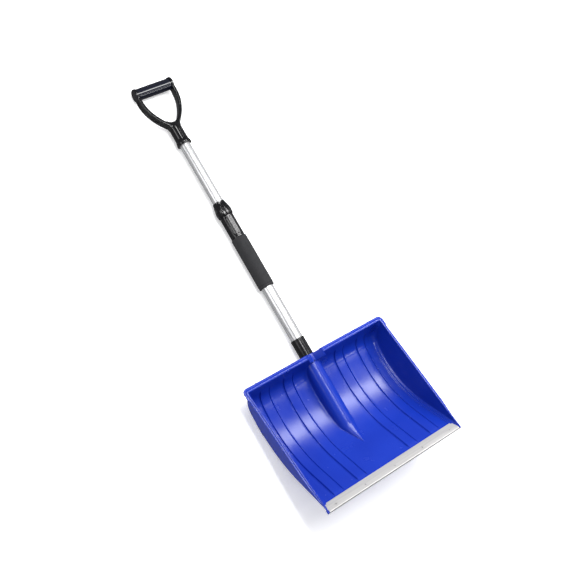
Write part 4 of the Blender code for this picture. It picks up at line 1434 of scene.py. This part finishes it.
@dataclass(frozen=True)
class HandleSizes:
    """Sizes of the tubes and of what is fixed on them, in metres."""

    tube_wall: float = 0.0012
    end_rounding: float = 0.0004
    foam_ring_setback: float = 0.0075
    foam_rounding: float = 0.0034
    flutes: int = 10
    flute_depth: float = 0.0010
    flute_land: float = 0.006
    lobes: int = 4
    groove_turn: float = -16.0
    groove_depth: float = 0.0017


class Extent:
    """How far a piece of the frame runs along the handle, and its radius."""

    def __init__(self, node: str, line: CentreLine) -> None:
        """Measure a piece of the frame.

        Args:
            node: The piece's name.
            line: The handle's centre line.
        """
        low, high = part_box(node)
        self.start = low.y + line.middle
        self.end = high.y + line.middle
        self.radius = (high.x - low.x) / 2


@dataclass
class LowerHandle(SubAssembly):
    """The lower tube with its ferrule, foam grip, twist lock and screws."""

    sizes: HandleSizes = field(default_factory=HandleSizes)

    def tube(self, node: str, name: str, body: Body) -> None:
        """Build and dress a plain tube in place of a piece of the frame.

        Args:
            node: The piece of the frame.
            name: The new piece's name.
            body: The moving part that it belongs to.
        """
        size = self.sizes
        extent = Extent(node, self.line)
        inner = extent.radius - size.tube_wall
        edge = size.end_rounding
        profile = rounded(
            [
                (inner, extent.start, edge),
                (extent.radius, extent.start, edge),
                (extent.radius, extent.end, edge),
                (inner, extent.end, edge),
            ]
        )
        shell = Shell()
        shell.turn(profile, TUBE_FACETS)
        self.show(shell, name, Slot.TUBE, body, node)

    def ferrule(self) -> None:
        """Build and dress the black sleeve between the tube and the socket."""
        extent = Extent("ferrule", self.line)
        outer, inner = extent.radius, extent.radius - 0.0014
        profile = rounded(
            [
                (inner, extent.start, 0.0003),
                (outer, extent.start, 0.0005),
                (outer, extent.end - 0.0046, 0.0003),
                (outer + 0.0003, extent.end - 0.0040, 0.0004),
                (outer + 0.0003, extent.end - 0.0012, 0.0008),
                (outer - 0.0006, extent.end, 0.0005),
                (inner, extent.end, 0.0002),
            ]
        )
        shell = Shell()
        shell.turn(profile, TUBE_FACETS)
        self.show(shell, "ferrule_sleeve", Slot.BLACK, Body.SHOVEL, "ferrule")

    def foam(self) -> None:
        """Build and dress the foam grip: a slightly uneven sleeve with rounded shoulders."""
        size = self.sizes
        extent = Extent("foam_grip", self.line)
        inner, outer = 0.0163, extent.radius
        ring = extent.start + size.foam_ring_setback
        shoulder = size.foam_rounding
        corners = [
            (inner, extent.start, 0.0003),
            (outer - 0.0002, extent.start, 0.0018),
            (outer - 0.0002, ring - 0.0016, 0.0006),
            (outer - 0.0009, ring - 0.0008, 0.0005),
            (outer + 0.0004, ring + 0.0004, 0.0008),
            (outer + 0.0002, ring + 0.0018, 0.0008),
            (outer, ring + 0.0040, 0.0010),
        ]
        corners += [(outer, at, 0.0) for at in spaced(ring + 0.008, extent.end - 0.006, 0.0035)]
        corners += [
            (outer, extent.end - 0.0052, 0.0),
            (outer, extent.end, shoulder),
            (inner, extent.end, 0.0004),
        ]

        def uneven(radius: float, along: float, angle: float) -> float:
            """Let the outside swell and dip a little.

            Args:
                radius: The radius of the plain piece.
                along: Station along the handle.
                angle: Angle round the handle, in radians.

            Returns:
                The radius to use.
            """
            if radius < inner + 0.001:
                return radius
            place = Vector((math.sin(angle) * 1.3, math.cos(angle) * 1.3, along * 38.0))
            return radius + 0.00016 * noise.noise(place)

        shell = Shell()
        shell.turn(rounded(corners, 6), TUBE_FACETS, radius_at=uneven)
        piece = self.show(shell, "foam_sleeve", Slot.FOAM, Body.SHOVEL, "foam_grip", crease=60.0)

    def clamp(self) -> None:
        """Build and dress the fluted clamp body under the nut."""
        size = self.sizes
        extent = Extent("clamp_body", self.line)
        nut = Extent("lock_nut", self.line)
        shoulder = nut.start - 0.0006
        outer, inner = extent.radius, 0.0163
        low = extent.start + size.flute_land
        high = shoulder - size.flute_land * 0.55
        corners = [
            (inner, extent.start, 0.0003),
            (outer, extent.start, 0.0009),
            (outer, low - 0.0028, 0.0004),
            (outer - 0.0004, low - 0.0022, 0.0004),
        ]
        corners += [(outer, at, 0.0) for at in spaced(low, high, 0.0012) + [high]]
        corners += [
            (outer, shoulder, 0.0006),
            (outer - 0.0010, shoulder + 0.0008, 0.0004),
            (outer - 0.0004, shoulder + 0.0030, 0.0),
            (outer - 0.0004, extent.end - 0.001, 0.0006),
            (inner, extent.end, 0.0004),
        ]

        def fluted(radius: float, along: float, angle: float) -> float:
            """Sink the flutes into the outside.

            Args:
                radius: The radius of the plain piece.
                along: Station along the handle.
                angle: Angle round the handle, in radians.

            Returns:
                The radius to use.
            """
            if radius < outer - 0.0005 or not low <= along <= high + 1e-6:
                return radius
            fade = smoothstep((along - low) / 0.005) * smoothstep((high - along) / 0.005)
            wave = 0.5 + 0.5 * math.cos(angle * size.flutes)
            return radius - size.flute_depth * fade * wave**1.6

        shell = Shell()
        shell.turn(rounded(corners, 3), FLUTED_FACETS, radius_at=fluted)
        self.show(shell, "clamp_barrel", Slot.GLOSS_BLACK, Body.SHOVEL, "clamp_body", crease=45.0)

    def nut(self) -> None:
        """Build and dress the lobed lock nut, with a raised oval on each lobe."""
        size = self.sizes
        extent = Extent("lock_nut", self.line)
        length = extent.end - extent.start
        outer, bore, top = extent.radius - 0.0005, 0.0146, 0.0162
        turn = math.radians(size.groove_turn)
        shape = (
            (0.0, 0.925), (0.04, 0.965), (0.12, 0.99), (0.25, 1.0), (0.40, 0.98), (0.55, 0.925),
            (0.70, 0.86), (0.82, 0.81), (0.92, 0.775), (0.97, 0.762), (1.0, 0.735),
        )  # fmt: skip
        profile: list[Pair] = [(bore + 0.004, extent.start + 0.004), (outer * 0.88, extent.start + 0.0002)]
        steps = 60
        for i in range(steps + 1):
            share = i / steps
            profile.append((max(outer * read_curve(shape, share), top), extent.start + share * length))
        profile += [(bore, extent.end), (bore, extent.end - 0.003), (bore + 0.004, extent.end - 0.010)]

        def lobed(radius: float, along: float, angle: float) -> float:
            """Sink the finger grooves and raise the ovals between them.

            Args:
                radius: The radius of the plain piece.
                along: Station along the handle.
                angle: Angle round the handle, in radians.

            Returns:
                The radius to use.
            """
            share = (along - extent.start) / length
            if radius < outer * 0.70:
                return radius
            beat = (angle - turn) * size.lobes / math.tau
            off = beat - round(beat)
            fade = smoothstep((0.98 - share) / 0.22)
            groove = math.exp(-((off / 0.085) ** 2)) * fade
            across = (abs(off) - 0.5) / 0.27
            lengthwise = (share - 0.40) / 0.36
            oval = math.hypot(across, lengthwise)
            ring = math.exp(-(((oval - 1.0) / 0.12) ** 2))
            dish = smoothstep((1.0 - oval) / 0.2)
            return radius - size.groove_depth * groove + 0.00070 * ring - 0.00035 * dish

        shell = Shell()
        shell.turn(profile, LOBED_FACETS, radius_at=lobed)
        self.show(shell, "lobed_nut", Slot.GLOSS_BLACK, Body.NUT, "lock_nut", crease=50.0)

    def build(self) -> None:
        """Build and dress everything on the lower tube."""
        self.tube("lower_tube", "lower_tube_drawn", Body.SHOVEL)
        self.ferrule()
        self.foam()
        self.clamp()
        self.nut()
        for number in (1, 2):
            self.keep(f"socket_screw_{number}", Slot.STEEL, 0.0003)
        self.keep("tube_plug", Slot.BLACK, 0.0005)
        self.keep("clamp_rivet", Slot.TUBE, 0.0002)
        self.keep("collet", Slot.WHITE, 0.0003)


# ---- Upper handle and D-grip ---------------------------------------------------------------------


@dataclass(frozen=True)
class GripSizes:
    """The D-grip's sizes, in metres."""

    neck_radius: float = 0.0165
    neck_bore: float = 0.0143
    tube_in_grip: float = 0.050
    crotch_rise: float = 0.0665
    bar_rise: float = 0.167
    fork_radius: float = 0.0210
    collar_length: float = 0.014
    collar_flare: float = 0.0034
    boss_radius: float = 0.017
    boss_outer: float = 0.0547
    boss_thickness: float = 0.0065
    cap_radius: float = 0.0125
    cap_recess: float = 0.0016
    arm_thickness: float = 0.0090
    arm_depth: float = 0.0250
    arm_channel: float = 0.0034
    arm_flange: float = 0.0045
    arm_steps: int = 40
    voxel: float = 0.0006


@dataclass
class UpperHandle(LowerHandle):
    """The upper tube, its guide bush and the D-grip."""

    grip: GripSizes = field(default_factory=GripSizes)

    def arm_path(self, bottom: float) -> list[Vector]:
        """The middle line of an arm, from its boss to the neck.

        Args:
            bottom: Station of the D-grip's lower end.

        Returns:
            Points of (x, station).
        """
        size = self.grip
        crotch = bottom + size.crotch_rise
        bar = bottom + size.bar_rise
        top = Vector((size.boss_outer - 0.0006 - size.arm_thickness / 2, bar - size.boss_radius / 2))
        knee = Vector((top.x + 0.005, bar - 0.050))
        hip = Vector((size.neck_radius * 2.2, crotch + 0.018))
        root = Vector((size.neck_radius * 0.45, crotch - 0.012))
        points = []
        for i in range(size.arm_steps + 1):
            t = i / size.arm_steps
            u = 1 - t
            points.append(u**3 * top + 3 * u * u * t * knee + 3 * u * t * t * hip + t**3 * root)
        return points

    def arm(self, shell: Shell, side: Side, bottom: float) -> None:
        """Add one arm: a web with a channel along its outer side.

        Args:
            shell: The mesh to add to.
            side: Which arm.
            bottom: Station of the D-grip's lower end.
        """
        size = self.grip
        path = self.arm_path(bottom)
        rings = []
        for i, spot in enumerate(path):
            run = (path[min(i + 1, len(path) - 1)] - path[max(i - 1, 0)]).normalized()
            out = Vector((-run.y, run.x))
            share = i / (len(path) - 1)
            channel = size.arm_channel * smoothstep((0.80 - share) / 0.08)
            thick = size.arm_thickness / 2
            deep = size.arm_depth / 2
            lip = deep - size.arm_flange
            section = rounded(
                [
                    (-thick, -deep, 0.0046),
                    (thick, -deep, 0.0022),
                    (thick, -lip, 0.0010),
                    (thick - channel, -lip + 0.0006, 0.0010),
                    (thick - channel, lip - 0.0006, 0.0010),
                    (thick, lip, 0.0010),
                    (thick, deep, 0.0022),
                    (-thick, deep, 0.0046),
                ]
            )
            rings.append([(side.value * (spot.x + a * out.x), spot.y + a * out.y, up) for a, up in section])
        shell.loft(rings)

    def neck(self, shell: Shell, bottom: float) -> None:
        """Add the neck: a socket for the tube with a flared, ringed collar.

        Args:
            shell: The mesh to add to.
            bottom: Station of the D-grip's lower end.
        """
        size = self.grip
        radius, flare = size.neck_radius, size.neck_radius + size.collar_flare
        crotch = bottom + size.crotch_rise
        corners = [
            (size.neck_bore, bottom, 0.0004),
            (flare - 0.0006, bottom, 0.0010),
            (flare, bottom + 0.0030, 0.0008),
            (flare - 0.0010, bottom + 0.0036, 0.0003),
            (flare - 0.0010, bottom + 0.0044, 0.0003),
            (flare - 0.0004, bottom + 0.0052, 0.0008),
            (flare - 0.0016, bottom + 0.0095, 0.0020),
            (radius + 0.0003, bottom + size.collar_length, 0.0030),
            (radius, bottom + 0.030, 0.0),
            (radius, crotch - 0.013, 0.008),
            (radius * 0.70, crotch - 0.0045, 0.006),
            (0.0004, crotch - 0.003, 0.0),
            (0.0004, bottom + size.tube_in_grip + 0.001, 0.0),
            (size.neck_bore, bottom + size.tube_in_grip + 0.001, 0.0),
        ]
        shell.turn(rounded(corners), TUBE_FACETS)

    def crotch(self, shell: Shell, bottom: float) -> None:
        """Add the rounded web that fills the fork between the arms.

        Args:
            shell: The mesh to add to.
            bottom: Station of the D-grip's lower end.
        """
        size = self.grip
        level = bottom + size.crotch_rise
        radius = size.fork_radius
        outline = []
        for i in range(17):
            turn = math.radians(between(-38, -142, i / 16))
            outline.append((radius * math.cos(turn), radius + radius * math.sin(turn) - 0.0015))
        outline += [(-0.0215, 0.0030), (-0.0170, -0.006), (-0.0150, -0.016)]
        outline += [(0.0150, -0.016), (0.0170, -0.006), (0.0215, 0.0030)]
        rings = []
        under_side = ((-0.0120, 0.88), (-0.0110, 0.96), (-0.0090, 1.0))
        for up, shrink in (*under_side, (0.0090, 1.0), (0.0110, 0.96), (0.0120, 0.88)):
            drop = 0.004 * (1.0 - shrink)
            rings.append([(x * shrink, level + s - drop * 2, up) for x, s in outline])
        shell.loft(rings)

    def sideways(self, bar: float) -> Callable[[float, float, float], Triple]:
        """Maps a turned piece onto the crossbar's axis."""
        return lambda u, v, x: (x, bar + u, v)

    def cutter(self, radius: float, near: float, far: float, bar: float) -> Piece:
        """A plain cylinder on the crossbar's axis, to cut with.

        Args:
            radius: Its radius.
            near: Where it starts, across the grip.
            far: Where it ends.
            bar: Station of the crossbar's axis.

        Returns:
            The cylinder.
        """
        tool = Shell()
        outline = [(0.0001, near), (radius, near), (radius, far), (0.0001, far)]
        tool.turn(outline, BOSS_FACETS, self.sideways(bar))
        return tool.finish("cutter", self.line)

    def frame_piece(self, bottom: float) -> None:
        """Build and dress the moulded frame of the D-grip.

        Args:
            bottom: Station of the D-grip's lower end.
        """
        size = self.grip
        bar = bottom + size.bar_rise
        shell = Shell()
        self.neck(shell, bottom)
        self.crotch(shell, bottom)
        for side in Side:
            self.arm(shell, side, bottom)
            face = side.value * size.boss_outer
            inner = side.value * (size.boss_outer - size.boss_thickness - 0.003)
            boss = rounded(
                [
                    (0.0004, inner, 0.0),
                    (size.boss_radius, inner, 0.0010),
                    (size.boss_radius, face, 0.0018),
                    (0.0004, face, 0.0),
                ]
            )
            shell.turn(boss, BOSS_FACETS, self.sideways(bar))
        piece = shell.finish("d_grip_frame", self.line)
        weld(piece, size.voxel, WELD_PASSES)
        fork = self.line.point(0, bottom + size.crotch_rise + 0.003, 0)
        ease(piece, Vector((0, fork.y, self.line.height)), FORK_REACH)
        half = size.boss_outer - size.boss_thickness
        cut(piece, self.cutter(size.boss_radius * 1.4, -half, half, bar))
        for side in Side:
            face = side.value * (size.boss_outer + 0.004)
            shelf = side.value * (size.boss_outer - size.cap_recess)
            cut(piece, self.cutter(size.cap_radius + 0.0003, shelf, face, bar))
        shade(piece, GRIP_CREASE)
        self.dress(piece, Slot.GLOSS_BLACK, Body.UPPER, "grip_frame")

    def bar(self, bottom: float) -> None:
        """Build and dress the crossbar sleeve and its end caps.

        Args:
            bottom: Station of the D-grip's lower end.
        """
        size = self.grip
        low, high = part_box("grip_bar")
        half, radius = (high.x - low.x) / 2, (high.z - low.z) / 2
        place = self.sideways(bottom + size.bar_rise)
        corners = [(0.0045, -half, 0.0002), (radius, -half, 0.0014)]
        for x in spaced(-half + 0.006, half - 0.006, 0.006) + [half - 0.006]:
            corners.append((radius + 0.00035 * (1 - (x / half) ** 2), x, 0.0))
        corners += [(radius, half, 0.0014), (0.0045, half, 0.0002)]
        shell = Shell()
        shell.turn(rounded(corners), TUBE_FACETS, place)
        self.show(shell, "bar_sleeve", Slot.BAR_BLACK, Body.UPPER, "grip_bar")
        for side in Side:
            node = f"end_cap_{side.name.lower()}"
            low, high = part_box(node)
            near, far = sorted((low.x, high.x), key=abs)
            step = math.copysign(1.0, far)
            disc = rounded(
                [
                    (0.0003, near, 0.0),
                    (size.cap_radius, near, 0.0002),
                    (size.cap_radius, far, 0.0005),
                    (size.cap_radius - 0.0022, far, 0.0003),
                    (size.cap_radius - 0.0027, far - step * 0.0005, 0.0002),
                    (size.cap_radius - 0.0060, far - step * 0.0004, 0.0),
                    (0.0003, far - step * 0.0001, 0.0),
                ]
            )
            cap = Shell()
            cap.turn(disc, BOSS_FACETS, place)
            self.show(cap, f"{node}_disc", Slot.BLACK, Body.UPPER, node)

    def build(self) -> None:
        """Build and dress the upper tube and everything on it."""
        self.tube("upper_tube", "upper_tube_drawn", Body.UPPER)
        bottom = Extent("grip_frame", self.line).start
        self.frame_piece(bottom)
        self.bar(bottom)
        self.keep("guide_bush", Slot.WHITE, 0.0003)
        self.keep("bar_bolt", Slot.STEEL, 0.0003)
        self.keep("bar_nut", Slot.STEEL, 0.0003)
        self.keep("grip_screw", Slot.STEEL, 0.0003)


# ---- Studio --------------------------------------------------------------------------------------


@dataclass(frozen=True)
class SoftLight:
    """A square soft light."""

    name: str
    place: Triple
    aim: Triple
    width: float
    height: float
    power: float
    mirrored: bool = True

    def hang(self) -> None:
        """Put the light in the studio."""
        lamp = bpy.data.lights.new(self.name, "AREA")
        lamp.shape = "RECTANGLE"
        lamp.size = self.width
        lamp.size_y = self.height
        lamp.energy = self.power
        holder = bpy.data.objects.new(self.name, lamp)
        holder.location = self.place
        holder.rotation_mode = "QUATERNION"
        holder.rotation_quaternion = (Vector(self.aim) - Vector(self.place)).to_track_quat("-Z", "Y")
        holder.visible_glossy = self.mirrored
        bpy.context.scene.collection.objects.link(holder)


@dataclass(frozen=True)
class Studio:
    """The room in which the shovel is shown."""

    camera_place: Triple = (-1.0593, -0.3341, 2.1577)
    camera_aim: Triple = (0.0494, -0.0598, 0.0217)
    camera_roll: float = 47.56
    lens: float = 60.67
    sensor: float = 36.0
    surround: float = 0.21
    floor_glow: float = 0.38
    lights: tuple[SoftLight, ...] = (
        SoftLight("key", (1.95, -0.10, 1.75), (0.0, -0.2, 0.0), 1.2, 1.2, 19.0, mirrored=False),
        SoftLight("right", (2.0, 0.20, 0.42), (0.0, 0.20, 0.03), 1.8, 0.35, 2.2),
        SoftLight("bar", (0.84, -1.06, 0.94), (0.0, 0.53, 0.03), 0.5, 0.08, 1.8),
        SoftLight("band", (0.95, 0.42, 1.80), (0.95, -0.40, 0.0), 1.5, 0.60, 29.0),
        SoftLight("front", (0.95, -0.98, 1.80), (0.95, -0.25, 0.0), 1.3, 0.14, 3.2),
        SoftLight("side", (-1.60, 0.45, 0.85), (0.0, 0.35, 0.03), 1.3, 0.45, 6.5),
        SoftLight("crest", (1.20, 0.25, 1.66), (0.0, 0.25, 0.0), 1.7, 0.07, 4.0),
        SoftLight("streak", (-0.14, 0.75, 2.50), (0.0, 0.75, 0.0), 2.6, 0.16, 32.0),
        SoftLight("left", (-0.75, 0.35, 2.7), (0.0, 0.1, 0.0), 0.08, 2.4, 8.0),
        SoftLight("overhead", (0.2, 1.1, 2.8), (0.0, 0.0, 0.0), 3.0, 3.0, 42.0, mirrored=False),
    )

    def floor(self) -> None:
        """Lay the floor."""
        mesh = bpy.data.meshes.new("studio_floor")
        half = 25.0
        corners = [(-half, -half, 0), (half, -half, 0), (half, half, 0), (-half, half, 0)]
        mesh.from_pydata(corners, [], [(0, 1, 2, 3)])
        floor = bpy.data.objects.new("studio_floor", mesh)
        floor.location.z = -0.0004
        bpy.context.scene.collection.objects.link(floor)
        paint = NodePainter("studio_paper")
        paint.tint(paint.grain(3.0, 2.0), (0.86, 0.86, 0.87), (0.88, 0.88, 0.885))
        paint.set(Roughness=0.9, Specular_IOR_Level=0.1, Emission_Strength=self.floor_glow)
        paint.shader.inputs["Emission Color"].default_value = (1, 1, 1, 1)
        mesh.materials.append(paint.material)
        floor.visible_glossy = False

    def surroundings(self) -> None:
        """Light the room evenly from all round."""
        world = bpy.data.worlds.new("studio")
        world.use_nodes = True
        background = world.node_tree.nodes["Background"]
        background.inputs["Color"].default_value = (0.96, 0.97, 1.0, 1)
        background.inputs["Strength"].default_value = self.surround
        bpy.context.scene.world = world

    def camera(self) -> None:
        """Set up the camera."""
        data = bpy.data.cameras.new("camera")
        data.lens = self.lens
        data.sensor_width = self.sensor
        camera = bpy.data.objects.new("camera", data)
        camera.location = self.camera_place
        camera.rotation_mode = "QUATERNION"
        look = Vector(self.camera_aim) - Vector(self.camera_place)
        roll = Quaternion((0, 0, 1), math.radians(self.camera_roll))
        camera.rotation_quaternion = look.to_track_quat("-Z", "Y") @ roll
        bpy.context.scene.collection.objects.link(camera)
        bpy.context.scene.camera = camera

    def build(self) -> None:
        """Set the studio up."""
        self.floor()
        self.surroundings()
        for light in self.lights:
            light.hang()
        self.camera()
        bpy.context.scene.view_settings.view_transform = "Standard"


def main() -> None:
    """Build the shovel, piece by piece, and the studio round it."""
    logging.basicConfig(level=logging.INFO, format="%(name)s: %(message)s")
    sizes = ScoopSizes()
    line = find_centre_line(sizes.toe_reach, sizes.wall, sizes.ramp)
    finishes = FinishCard()
    for assembly in (Scoop(line, finishes), LowerHandle(line, finishes), UpperHandle(line, finishes)):
        assembly.build()
        for piece in assembly.made:
            log.info("%s: %s with %d faces", type(assembly).__name__, piece.name, len(piece.data.polygons))
    Studio().build()


if __name__ == "__main__":
    main()
